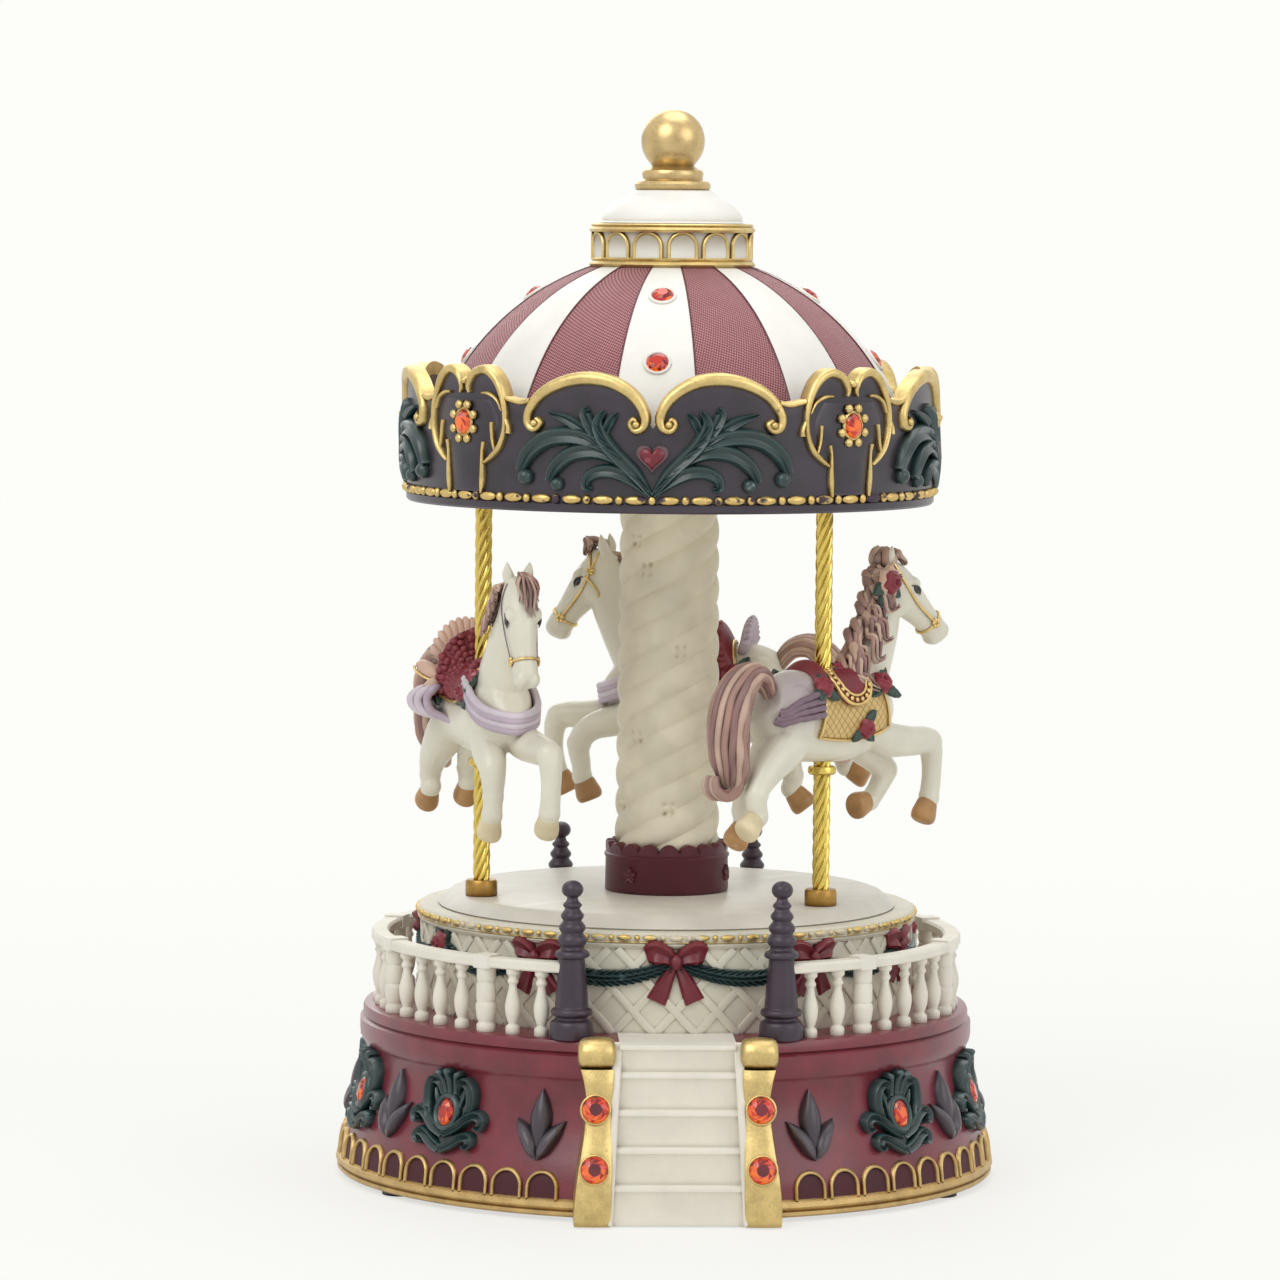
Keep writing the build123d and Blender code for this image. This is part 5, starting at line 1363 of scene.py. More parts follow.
def gallery():
    """Ring of round-headed niches between two gold mouldings."""
    low, high, r = GALLERY_FOOT, CAP_FOOT, GALLERY_R
    form = Form()
    wall = [(r - 3.0, low), (r - 0.9, low + 0.2), (r - 1.0, high - 0.2), (r - 3.0, high)]
    turned(form, wall, 128, loop=True)
    for z, lift in ((low, 1.9), (high - 1.7, 1.7)):
        ring = [(r - 1.4, z), (r - 0.1, z), (r + 0.2, z + 0.3 * lift), (r - 0.1, z + 0.55 * lift),
                (r - 0.4, z + 0.65 * lift), (r - 0.2, z + 0.85 * lift), (r - 0.5, z + lift),
                (r - 1.4, z + lift)]
        turned(form, ring, 128, 1, loop=True)
    count, first, half, pillar, depth = 14, 5.4, 2.7, 1.6, 0.4
    cord_half, cord_height = 0.42, 0.75
    line = [(-half, 0.0), (-half, pillar), *arc(0, 2.4, half, 180, 0, 12), (half, pillar), (half, 0.0)]
    niche = [(0, 0.0, half, depth), (0, 2.4, half, depth), (0, 4.0, half * 0.78, depth),
             (0, 4.9, half * 0.35, depth)]
    for k in range(count):
        place = on_wall(r - 0.95, FRONT + first + 360 * k / count, low + 1.7)
        strap(form, [(u, v, cord_half, cord_height) for u, v in line], place, paint=1)
        # The plank in each niche carries the painted shadow under the arch head
        strap(form, flow(niche, 3), place, PLANK, paint=2)
    form.piece("gallery_arches", ["niche_grey_paint", "bright_gold", "arch_painted_shadow"], "carousel", "gold_resin",
               "gallery")


def cap_and_finial():
    low, high = CAP_FOOT, FINIAL_FOOT
    form = Form()
    outline = [(2.7, low), (13.4, low), (13.9, low + 0.5), (13.8, low + 1.3), (13.0, low + 2.6),
               (11.2, low + 4.2), (9.0, low + 5.5), (7.4, high), (2.7, high)]
    turned(form, flow(outline, 3), 120)
    form.piece("cap_white", ["white_paint"], "carousel", "dome_resin", "canopy_cap")
    form = Form()
    outline = [(7.2, 0), (7.5, 0.5), (7.5, 1.2), (7.1, 1.7), (6.2, 1.9), (5.9, 2.2), (6.0, 2.7), (6.1, 3.3),
               (5.8, 3.9), (4.8, 4.3), (4.2, 4.8)]
    outline += arc(0, 9.7, 6.3, -44, 86, 26)
    turned(form, [(r, FINIAL_FOOT + z) for r, z in outline], 96)
    form.piece("finial_gold", ["finial_gold"], "carousel", "gold_resin", "finial")


# Horses: places forward of the pole, to the left of it and above the belly

SKIN_VOXEL = 0.3      # grain of the one skin over the limbs, and how often it is eased
SKIN_ROUNDS = 5
# Stations of limbs: forward, up, half width, half depth; a leg has forward, up, radius
TRUNK = ((-18.6, 13.0, 1.6, 2.0), (-17.4, 12.4, 4.6, 5.6), (-11.5, 10.9, 6.4, 8.7), (-2.0, 9.2, 6.1, 8.3),
         (6.0, 9.4, 6.3, 8.7), (13.0, 10.8, 5.7, 8.0), (17.4, 12.0, 3.9, 5.6), (18.6, 12.6, 2.0, 3.2))
NECK_ROOT = ((10.4, 14.0, 4.8, 6.8), (15.2, 22.3, 4.1, 5.7))
TAIL = ((-16.4, 15.0, 1.6, 1.5), (-19.4, 18.4, 2.4, 2.0), (-23.8, 18.8, 3.7, 2.5), (-28.0, 14.6, 4.5, 2.9),
        (-29.4, 7.5, 4.6, 2.9), (-28.2, 1.6, 4.0, 2.6), (-27.6, -1.8, 2.4, 1.9))
HEAD = ((-1.4, -0.2, 1.8, 2.0), (0.4, -0.2, 2.8, 3.0), (3.0, -0.4, 3.35, 3.9), (6.5, -0.5, 3.5, 4.2),
        (10.5, -0.2, 2.95, 3.5), (14.5, 0.0, 2.45, 2.8), (17.8, 0.0, 2.5, 2.75), (19.8, -0.1, 2.3, 2.4),
        (20.8, -0.2, 1.3, 1.4))
HEAD_POSES = (        # poll forward, poll above the belly, tip down, turn to the left, length of the head
    (20.6, 35.4, 72.0, -2.0, 0.95),
    (18.8, 38.0, 44.0, -14.0, 1.0),
    (19.4, 36.8, 54.0, -14.0, 1.0),
)
LEG_LEFT = 3.5
FORE_FORWARD = ((9.0, 8.0, 3.1), (15.5, 4.6, 3.5), (23.5, 3.6, 3.0), (29.8, 3.0, 2.6), (31.0, -2.2, 2.0),
                (30.2, -8.0, 2.0), (30.0, -11.8, 2.8))
FORE_HANGING = ((8.5, 8.0, 3.1), (12.6, 3.0, 3.4), (16.6, -0.8, 2.7), (17.0, -6.0, 2.0), (16.4, -9.6, 2.0),
                (16.4, -12.6, 2.8))
FORE_TUCKED = ((8.5, 8.0, 3.1), (15.0, 3.4, 3.4), (21.6, -0.4, 2.7), (24.6, -2.6, 2.5), (22.6, -6.0, 2.0),
               (19.8, -8.4, 2.0), (16.4, -10.8, 2.8))
FORE_DOWN = ((8.5, 8.0, 3.1), (15.0, 3.8, 3.4), (21.6, 1.6, 2.8), (24.4, -1.8, 2.4), (23.9, -6.2, 2.0),
             (23.7, -8.6, 2.0), (23.8, -11.4, 2.8))
HIND_BENT = ((-9.5, 9.0, 3.4), (-14.0, 3.6, 4.0), (-19.6, -1.4, 3.0), (-22.0, -5.2, 2.1), (-21.6, -7.6, 2.0),
             (-22.4, -10.4, 2.8))
HIND_RAISED = ((-9.5, 9.0, 3.4), (-12.6, 3.4, 3.8), (-17.4, -1.0, 2.8), (-19.4, -4.0, 2.1),
               (-18.8, -6.4, 2.0), (-19.2, -9.0, 2.8))
HIND_BACK = ((-9.5, 9.0, 3.4), (-15.4, 4.8, 4.0), (-21.6, 0.6, 3.1), (-24.8, -3.6, 2.2), (-24.4, -7.8, 2.0),
             (-26.4, -11.4, 2.8))
HIND_UNDER = ((-9.5, 9.0, 3.4), (-13.0, 2.8, 3.8), (-18.4, -3.0, 2.8), (-20.2, -7.4, 2.1),
              (-19.8, -10.0, 2.0), (-20.6, -13.0, 2.8))
HIND_KICKED = ((-9.5, 9.0, 3.4), (-16.0, 4.6, 4.0), (-23.4, 0.6, 3.1), (-28.4, -2.6, 2.2), (-30.2, -5.8, 2.0),
               (-32.6, -8.6, 2.8))
HORSE_LEGS = (        # right fore, left fore, right hind, left hind
    (FORE_HANGING, FORE_FORWARD, HIND_BENT, HIND_RAISED),
    (FORE_FORWARD, FORE_TUCKED, HIND_BACK, HIND_UNDER),
    (FORE_FORWARD, FORE_DOWN, HIND_KICKED, HIND_UNDER),
)
PALE_HOOVES = {1: (1, 1, 0, 0), 2: (0, 0, 1, 0)}      # by horse, 1 for a pale hoof, in the order of the legs
HORSE_PIECES = {      # slot, then finishes
    "hair": ("horse_resin", "hair_paint", "pale_hair_paint", "deep_hair_paint"),
    "hoof": ("horse_resin", "hoof_paint", "pale_hoof_paint"),
    "eye": ("horse_resin", "eye_black"),
    "lavender": ("horse_resin", "lavender_paint", "pale_lavender_paint"),
    "peach": ("horse_resin", "peach_paint"),
    "mauve": ("horse_resin", "mauve_paint"),
    "saddle": ("burgundy_resin", "saddle_red"),
    "rose": ("burgundy_resin", "rose_paint"),
    "leaf": ("green_resin", "leaf_paint"),
    "tack_gold": ("gold_resin", "tack_gold"),
    "cloth": ("gold_resin", "saddle_cloth_gold"),
}


class Limb:
    """Round limb through (forward, up, half width, half depth) stations."""

    def __init__(self, stations):
        self.run = flow(stations, 6)

    def spot(self, t, turn, out=0.0):
        """Point on the skin: t along it, turn 0 on its upper side and 90 on the horse's right."""
        place = min(max(t, 0.0), 1.0) * (len(self.run) - 1)
        k = min(int(place), len(self.run) - 2)
        low, high = self.run[k], self.run[k + 1]
        x, z, wide, deep = [a + (b - a) * (place - k) for a, b in zip(low, high)]
        before = self.run[max(k - 1, 0)]
        after = self.run[min(k + 2, len(self.run) - 1)]
        dx, dz = after[0] - before[0], after[1] - before[1]
        size = hypot(dx, dz)
        rise = cos(radians(turn)) * (deep + out)
        return x - dz / size * rise, -sin(radians(turn)) * (wide + out), z + dx / size * rise

    def at(self, x):
        """How far along it a forward place lies."""
        run = [(row[0], k / (len(self.run) - 1)) for k, row in enumerate(self.run)]
        return between(run, x)

    def skin(self, form, place, sides=28):
        last = len(self.run) - 1
        rows = [[self.spot(k / last, 360 * i / sides) for i in range(sides)] for k in range(last + 1)]
        form.rows(rows, place=place)


def melted(form, name):
    """Overlapping closed forms under one smooth skin."""
    mesh = bpy.data.meshes.new(name)
    mesh.from_pydata([tuple(c * MM for c in p) for p in form.points], [], form.faces)
    rough = bpy.data.objects.new(name, mesh)
    bpy.context.scene.collection.objects.link(rough)
    skin = rough.modifiers.new("skin", "REMESH")
    skin.mode = "VOXEL"
    skin.voxel_size = SKIN_VOXEL * MM
    ease = rough.modifiers.new("ease", "SMOOTH")
    ease.factor = 0.5
    ease.iterations = SKIN_ROUNDS
    made = bpy.data.meshes.new_from_object(rough.evaluated_get(bpy.context.evaluated_depsgraph_get()))
    bpy.data.objects.remove(rough)
    bpy.data.meshes.remove(mesh)
    made.shade_smooth()
    return made


def chance(a, b):
    """Fixed scatter from 0 to 1 for two whole numbers."""
    return sin(12.9898 * a + 78.233 * b) * 43758.5453 % 1.0


def lock(form, line, place, width, wave, tone):
    """Wavy lock of hair: tapering strands side by side, in the three tones of the hair from that one on."""
    run = flow(line, 6)
    last = len(run) - 1
    strands = 3
    for s in range(strands):
        aside = (s - (strands - 1) / 2) * 0.85 * width
        strand = []
        for k, (x, y, z) in enumerate(run):
            t = k / last
            sway = wave * width * sin(7.5 * t + 1.1 * s)
            r = 0.58 * width * (0.7 + 0.3 * sin(pi * t)) * (1 - 0.85 * t ** 3)
            strand.append((x + aside * (1 - 0.5 * t) + sway, y, z + 0.5 * aside, r))
        rod(form, strand, 8, place, (s + tone) % strands)


class Horse:
    """One horse on its pole: a smooth body, hooves, hair and the tack that it wears."""

    def __init__(self, number):
        self.name = f"horse_{number}"
        poll_x, poll_z, tip, turn, length = HEAD_POSES[number - 1]
        root_x, root_z = NECK_ROOT[-1][:2]
        end_x, end_z = poll_x + 0.5, poll_z - 1.9
        self.trunk = Limb(TRUNK)
        self.neck = Limb([*NECK_ROOT, ((root_x + end_x) / 2 + 0.8, (root_z + end_z) / 2, 3.5, 4.8),
                          (end_x, end_z, 2.9, 3.8), (poll_x + 0.2, poll_z + 0.8, 1.9, 2.6)])
        self.head = Limb([(length * along, *rest) for along, *rest in HEAD])
        self.place = horse_place(number)
        look = shifted(poll_x, 0, poll_z, turn)
        nod = Matrix.Rotation(radians(tip), 3, "Y")
        self.poll = lambda p: self.place(look(p))
        self.gaze = lambda p: self.poll(nod @ Vector(p))
        self.forms = {key: Form() for key in HORSE_PIECES}
        self.flesh = Form()
        self.body(HORSE_LEGS[number - 1], PALE_HOOVES.get(number, (0, 0, 0, 0)))

    def body(self, legs, hooves):
        for limb in (self.trunk, self.neck):
            limb.skin(self.flesh, self.place)
        self.head.skin(self.flesh, self.gaze)
        for side in (1, -1):
            muscles = (((-12.5, 3.0 * side, 10.5), (5.8, 4.1, 6.8)),
                       ((11.8, 2.5 * side, 10.0), (4.8, 3.6, 6.6)),
                       ((16.0, 1.8 * side, 10.0), (2.8, 2.4, 3.8)))
            for centre, sizes in muscles:
                ball(self.flesh, centre, sizes, self.place)
            bones = (((6.4, 1.4 * side, -2.5), (3.6, 2.3, 3.0)), ((19.0, 1.2 * side, 0.4), (1.7, 1.5, 1.9)),
                     ((18.9, 0.5 * side, -1.6), (1.6, 1.5, 1.4)), ((6.4, 2.55 * side, 2.1), (1.6, 1.2, 1.0)))
            for centre, sizes in bones:
                ball(self.flesh, centre, sizes, self.gaze)
            ear = [(0.0, 1.7 * side, 0.6, 1.0), (0.1, 2.0 * side, 1.9, 1.2), (0.3, 2.2 * side, 3.2, 0.8),
                   (0.6, 2.3 * side, 4.6, 0.15)]
            rod(self.flesh, flow(ear, 4), 10, self.poll)
            ball(self.forms["eye"], (7.4, 3.3 * side, 1.0), (0.95, 0.36, 0.55), self.gaze, 14, 8)
            lid = [(5.8, 3.35 * side, 0.7, 0.1), (6.9, 3.5 * side, 1.5, 0.24), (7.9, 3.42 * side, 1.55, 0.24),
                   (8.8, 3.2 * side, 0.9, 0.1)]
            rod(self.forms["eye"], flow(lid, 4), 8, self.gaze)
            ball(self.forms["eye"], (20.1, 1.7 * side, 0.9), (0.3, 0.25, 0.45), self.gaze, 8, 6)
        for stations, side, paint in zip(legs, (-1, 1, -1, 1), hooves):
            self.leg(stations, side * LEG_LEFT, paint)

    def leg(self, stations, left, paint):
        line = []
        for k, (x, z, r) in enumerate(stations[:-1]):
            spread = min(0.75 + 0.125 * k, 1.0)
            line.append((x, left * spread, z, r))
        ankle = Vector(line[-1][:3])
        toe = Vector((stations[-1][0], left, stations[-1][1]))
        aim = Matrix.Rotation(radians(24), 3, "Y") @ (toe - ankle).normalized()
        line.append((*(ankle + 1.6 * aim), 1.9))
        rod(self.flesh, flow(line, 5), 18, self.place)
        knee = line[3]
        ball(self.flesh, knee[:3], [1.1 * knee[3]] * 3, self.place)
        ball(self.flesh, ankle, [2.2] * 3, self.place)
        across = Vector((0, 1, 0))
        other = aim.cross(across).normalized()
        outline = flow(((1.7, 0.5), (2.1, 1.2), (2.35, 2.4), (2.6, 3.7), (2.45, 4.7), (1.9, 5.2),
                        (0.9, 5.3)), 3)
        rows = []
        for r, far in outline:
            rows.append([tuple(ankle + far * aim + r * (0.92 * cos(t) * across + 1.05 * sin(t) * other))
                         for t in full_turn(22)])
        self.forms["hoof"].rows(rows, paint, place=self.place)

    def mane(self, low, fall, volume=1.0):
        """Curly locks from a low place on the neck up to the poll, falling so many degrees to its right."""
        form = self.forms["hair"]
        neck = self.neck
        count = 12
        bends = ((0.04, 0.0, -0.3), (0.02, 0.24, 0.9), (-0.07, 0.46, 0.7), (-0.08, 0.66, 1.4),
                 (-0.19, 0.84, 0.8), (-0.16, 1.0, 1.5))
        for k in range(count):
            t = low + (0.98 - low) * k / (count - 1)
            sway = 0.05 * sin(2.1 * k)
            for start, lift in ((-14, 0.3), (8, 0.3 + 0.7 * volume)):
                drop = fall * (0.82 + 0.18 * sin(1.7 * k + start))
                line = [neck.spot(t + along + sway * turn, start + drop * turn, lift + out * volume)
                        for along, turn, out in bends]
                lock(form, line, self.place, 1.05, 0.7, k)
            lean = 14 * sin(2.0 * k)
            curl = [(*neck.spot(t, lean, 0.2), 1.0), (*neck.spot(t - 0.01, lean + 6, 1.9), 1.05),
                    (*neck.spot(t - 0.07, lean + 20, 2.2), 0.9), (*neck.spot(t - 0.12, lean + 30, 1.5), 0.35)]
            rod(form, flow(curl, 5), 8, self.place, k % 3)
        ridge = [(*neck.spot(low + (1.0 - low) * k / 12, 6 * sin(2.0 * k), 0.6), 1.2 + 0.35 * sin(2.6 * k))
                 for k in range(13)]
        rod(form, flow(ridge, 3), 10, self.place)

    def forelock(self, turns, puff, width=0.85):
        """Wavy locks that fall from the poll over the forehead."""
        head = self.head
        for k, (turn, far) in enumerate(turns):
            line = [head.spot(0.0, turn * 0.6, 0.8), head.spot(0.07, turn * 0.8, 1.5 * puff),
                    head.spot(far * 0.5, turn * 1.3, 1.1 * puff), head.spot(far * 0.8, turn * 0.8, 1.0),
                    head.spot(far, turn * 1.3, 0.5)]
            lock(self.forms["hair"], line, self.gaze, width, 0.5, k)

    def topknot(self):
        """Short curls that stand round the poll."""
        for k, turn in enumerate(full_turn(9)):
            out, aside = cos(turn), sin(turn)
            curl = [(1.2 * out, 1.6 * aside, 0.0, 0.8), (1.9 * out, 2.4 * aside, 1.6, 0.85),
                    (1.4 * out + 0.5, 2.0 * aside + 0.4, 3.0 + 0.5 * sin(2.3 * k), 0.8),
                    (0.4 * out + 1.0, 1.2 * aside + 0.8, 3.2, 0.65),
                    (0.6 * out + 0.8, 1.0 * aside + 0.3, 2.3, 0.3)]
            rod(self.forms["hair"], flow(curl, 5), 8, self.poll, 1 if out > 0.3 else k % 3)

    def tail(self, tones=(0, 1, 2)):
        """Strands laid round a core, with curls at the end."""
        form = self.forms["hair"]
        path = flow(TAIL, 6)
        last = len(path) - 1
        strands = 15
        for s in range(strands):
            strand = []
            for k, (x, z, wide, deep) in enumerate(path):
                before, after = path[max(k - 1, 0)], path[min(k + 1, last)]
                dx, dz = after[0] - before[0], after[1] - before[1]
                size = hypot(dx, dz)
                turn = 2 * pi * s / strands + 0.9 * k / last
                out = 0.8 * deep * sin(turn)
                swell = 1 + 0.06 * sin(0.9 * k + 2.2 * s)
                strand.append((x - dz / size * out, 0.84 * wide * swell * cos(turn), z + dx / size * out,
                               0.15 * wide + 0.16))
            rod(form, strand, 8, self.place, tones[s % 3])
        Limb([(x, z, 0.7 * wide, 0.7 * deep) for x, z, wide, deep in TAIL]).skin(form, self.place, 16)
        for s in range(5):
            aside = 0.9 * (s - 2)
            curl = [(-27.7, aside, 0.2, 1.1), (-28.2, 0.9 * aside + 0.3, -2.6, 1.2),
                    (-30.2, 0.8 * aside + 1.0, -3.8, 1.1), (-32.2, 0.7 * aside + 1.6, -2.4, 0.95),
                    (-31.9, 0.6 * aside + 2.0, -0.6, 0.75), (-30.6, 0.5 * aside + 2.0, -0.4, 0.35)]
            rod(form, flow(curl, 5), 8, self.place, tones[s % 3])

    def blanket(self, key, ends, turns, thick, steps=24):
        """Cloth laid over the trunk between two forward places and two turns; thick is its thickness."""
        rows = []
        for k in range(steps + 1):
            x = ends[0] + (ends[1] - ends[0]) * k / steps
            t = self.trunk.at(x)
            angles = [turns[0] + (turns[1] - turns[0]) * s / steps for s in range(steps + 1)]
            edge = 1 - abs(2 * k / steps - 1) ** 8
            row = []
            for s, angle in enumerate(angles):
                soft = edge * (1 - abs(2 * s / steps - 1) ** 8)
                row.append(self.trunk.spot(t, angle, 0.25 + soft * thick(x, angle)))
            row += [self.trunk.spot(t, angle, -0.5) for angle in reversed(angles)]
            rows.append(row)
        self.forms[key].rows(rows, place=self.place)

    def edging(self, ends, turns, r):
        """Gold cord round the edge of a blanket."""
        lift, steps = 0.7, 8
        x0, x1 = ends
        a0, a1 = turns
        corners = [(x0, a0), (x0, (a0 + a1) / 2), (x0, a1), ((x0 + x1) / 2, a1), (x1, a1),
                   (x1, (a0 + a1) / 2), (x1, a0), ((x0 + x1) / 2, a0)]
        line = []
        for k, (x, a) in enumerate(corners):
            after = corners[(k + 1) % len(corners)]
            for s in range(steps):
                px, pa = x + (after[0] - x) * s / steps, a + (after[1] - a) * s / steps
                line.append((*self.trunk.spot(self.trunk.at(px), pa, lift), r))
        rod(self.forms["tack_gold"], line, 8, self.place, loop=True)

    def saddle(self, cantle, pommel, columns=19, flap=78):
        """Seat with raised ends and columns of small tufts; its flaps reach down so many degrees."""
        def thick(x, angle):
            upper = max(cos(radians(angle)), 0) ** 2
            back = cantle * exp(-((x + 7.6) / 2.0) ** 2)
            front = pommel * exp(-((x - 6.2) / 1.8) ** 2)
            return 1.1 + upper * (back + front)

        self.blanket("saddle", (-9.4, 8.0), (-flap, flap), thick, 40)
        for column in range(columns):
            angle = -67 + 7.4 * column
            x, row, along, step = -7.0, 0, 1.0, 0.1
            while x < 6.8:
                along += hypot(step, thick(x + step, angle) - thick(x, angle))
                x += step
                if along > 1.15:
                    along = 0.0
                    row += 1
                    jog = chance(column, row)
                    sizes = (0.7 + 0.4 * jog, 0.95, 0.7 + 0.4 * chance(row, column))
                    seat = self.trunk.spot(self.trunk.at(x), angle + 8 * jog - 4, thick(x, angle) - 0.5)
                    ball(self.forms["saddle"], seat, sizes, self.place, 10, 6)

    def skirt(self, side):
        """Rounded saddle flap with a beaded gold border."""
        def spot(r, turn, lift):
            x = 2.3 + r * 6.8 * cos(turn)
            angle = side * (36 - r * 35 * sin(turn))
            return self.trunk.spot(self.trunk.at(x), angle, lift)

        around = full_turn(44)
        rings = ((1.0, 0.2), (1.0, 1.5), (0.9, 1.8), (0.5, 2.1), (0.05, 2.2))
        rows = [[spot(r, turn, lift) for turn in around] for r, lift in rings]
        self.forms["saddle"].rows(rows, place=self.place)
        gold = self.forms["tack_gold"]
        for r, lift, thick in ((1.0, 1.6, 0.38), (0.72, 2.0, 0.3)):
            rod(gold, [(*spot(r, turn, lift), thick) for turn in around], 8, self.place, loop=True)
        for turn in around[::2]:
            ball(gold, spot(0.86, turn, 1.9), (0.5, 0.5, 0.5), self.place, 8, 6)

    def fan_cantle(self, high, key="peach"):
        """Ribbed shell that stands behind the seat."""
        ribs = 13
        for k in range(ribs):
            bend = radians(-66 + 132 * k / (ribs - 1))
            aside, rise = -sin(bend), cos(bend)
            line = [(-8.4, 1.5 * aside, 16.4, 0.7), (-9.6, 4.6 * aside, 16.6 + 0.5 * high * rise, 0.85),
                    (-10.6, 7.0 * aside, 16.8 + high * rise, 0.9),
                    (-11.4, 7.6 * aside, 17.0 + (high + 0.9) * rise, 0.4)]
            rod(self.forms[key], flow(line, 4), 10, self.place)

    def drape(self, line, width, folds, key):
        """Folded sash along (forward, turn, lift) places on the trunk."""
        run = flow(line, 6)
        for s in range(folds):
            strand = []
            for k, (x, turn, lift) in enumerate(run):
                t = self.trunk.at(x)
                wave = (s - (folds - 1) / 2) * width / folds
                spot = self.trunk.spot(t, turn + wave * 8, lift + 0.15 * sin(1.7 * k + 2 * s))
                strand.append((*spot, 0.5 * width / folds + 0.2))
            rod(self.forms[key], strand, 10, self.place)

    def breast_sash(self):
        """Folded sash from the saddle round the chest."""
        chest = ((7.6, -6.4, 15.0), (12.6, -6.5, 11.6), (17.4, -4.9, 9.4), (20.3, 0.0, 8.4), (17.4, 4.9, 9.4),
                 (12.6, 6.5, 11.6), (7.6, 6.4, 15.0))
        for s in range(4):
            line = [(x + 0.15 * s, y, z + 1.0 * (s - 1.5), 0.78) for x, y, z in flow(chest, 5)]
            # Pale strands between lavender ones: a painted highlight on the folds
            rod(self.forms["lavender"], line, 10, self.place, s % 2)

    def swag(self, side):
        """Puffed cloth behind the saddle: loops that stand out from the flank, over two pale petals."""
        for k in range(8):
            far = k / 7
            back = -5.0 - 7.0 * far
            puff = 2.4 + 2.0 * sin(pi * (0.15 + 0.75 * far)) + 0.9 * (k % 2)
            line = [(-6.6, 6.0 * side, 13.4, 0.5),
                    (back + 0.6, (6.8 + 0.5 * puff) * side, 13.6 - 0.6 * far, 0.75),
                    (back, (6.6 + puff) * side, 11.6 - 0.4 * far, 0.85),
                    (back + 0.2, (6.4 + 0.8 * puff) * side, 9.0, 0.85), (back + 1.0, 6.4 * side, 7.6, 0.75),
                    (back + 2.2, 5.4 * side, 7.0, 0.5)]
            # Pale loops between lavender ones: a painted highlight on the folds
            rod(self.forms["lavender"], flow(line, 5), 12, self.place, k % 2)
        for x, y, z in ((-12.4, 8.6, 17.4), (-6.0, 9.6, 12.8)):
            petal = [(-7.4, 6.0 * side, 14.6, 0.5),
                     ((x - 7.4) / 2, (y + 6.2) / 2 * side, (z + 15.4) / 2, 1.5),
                     (x, y * side, z, 1.3), (x - 0.6, (y + 1.0) * side, z + 0.2, 0.3)]
            rod(self.forms["peach"], flow(petal, 5), 12, self.place)
            hem = [(px + 0.2, py + (0.8 * r + 0.2) * side, pz - 0.75 * r, 0.26) for px, py, pz, r in petal]
            rod(self.forms["tack_gold"], flow(hem, 5), 8, self.place)

    def bloom(self, x, turn, r, lift=0.8):
        """Rose with leaves on the trunk."""
        t = self.trunk.at(x)
        seat = Vector(self.place(self.trunk.spot(t, turn, lift)))
        root = Vector(self.place(self.trunk.spot(t, turn, lift - 1.5)))
        self.rose_at(seat, seat - root, r, (-2.2, 0.6, 2.3))

    def rose_at(self, seat, out, r, leaves):
        rose(self.forms["rose"], facing(seat, out), r)
        for bend in leaves:
            leaf(self.forms["leaf"], facing(seat - 0.3 * out.normalized(), out), 2.1 * r, 1.0 * r, bend)

    def ear_rose(self):
        """Rose with leaves behind the outer ear."""
        seat = Vector(self.gaze((0.1, -5.0, -3.4)))
        out = Vector(self.gaze((0.4, -6.0, -3.2))) - seat
        self.rose_at(seat, out, 2.6, (2.2, 2.9, 3.6, 4.3))
        for k in range(7):
            leaf(self.forms["peach"], facing(seat - 0.2 * out.normalized(), out), 3.5, 3.1, 0.9 * k, 0.7)

    def bridle(self, *straps, key="tack_gold", thick=0.3, jaw=()):
        """Gold noseband with a small flower each side, straps along the head and one round the jaw."""
        gold = self.forms["tack_gold"]
        ring = [(*self.head.spot(0.68, 360 * k / 32, 0.14), 0.28) for k in range(32)]
        rod(gold, ring, 8, self.gaze, loop=True)
        for side in (1, -1):
            for strap_line in straps:
                line = [(*self.head.spot(t, side * turn, 0.2), thick) for t, turn in strap_line]
                rod(self.forms[key], flow(line, 5), 8, self.gaze)
            if jaw:
                line = [(x, y * side, z, thick) for x, y, z in jaw]
                rod(gold, flow(line, 5), 8, self.gaze)
            for t, turn in ((0.68, 92), *[line[1] for line in straps[:1] if len(straps) > 1]):
                centre = self.head.spot(t, side * turn, 0.3)
                for bend in full_turn(5):
                    petal = (centre[0] + 0.6 * cos(bend), centre[1], centre[2] + 0.6 * sin(bend))
                    ball(gold, petal, (0.45, 0.36, 0.45), self.gaze, 8, 6)

    def show(self, glaze="horse_glaze"):
        skin = melted(self.flesh, self.name + "_body")
        skin.materials.clear()
        skin.materials.append(FINISH[glaze])
        shown(self.name + "_body", skin, "carousel", "horse_resin", self.name)
        for key, (slot, *finishes) in HORSE_PIECES.items():
            if self.forms[key].points:
                self.forms[key].piece(f"{self.name}_{key}", finishes, "carousel", slot, crease=60)


# Straps of a bridle: how far along the head, and turn from its upper side; the jaw strap has plain places
CHEEK_STRAP = ((0.1, 62), (0.28, 84), (0.46, 96), (0.68, 92))
JAW_STRAP = ((5.5, 3.65, 0.3), (5.6, 3.85, -1.8), (6.4, 3.5, -4.0), (8.2, 2.3, -4.7), (9.4, 1.2, -3.9))
BROW_STRAP = ((0.28, 84), (0.2, 55), (0.16, 25), (0.15, 0))


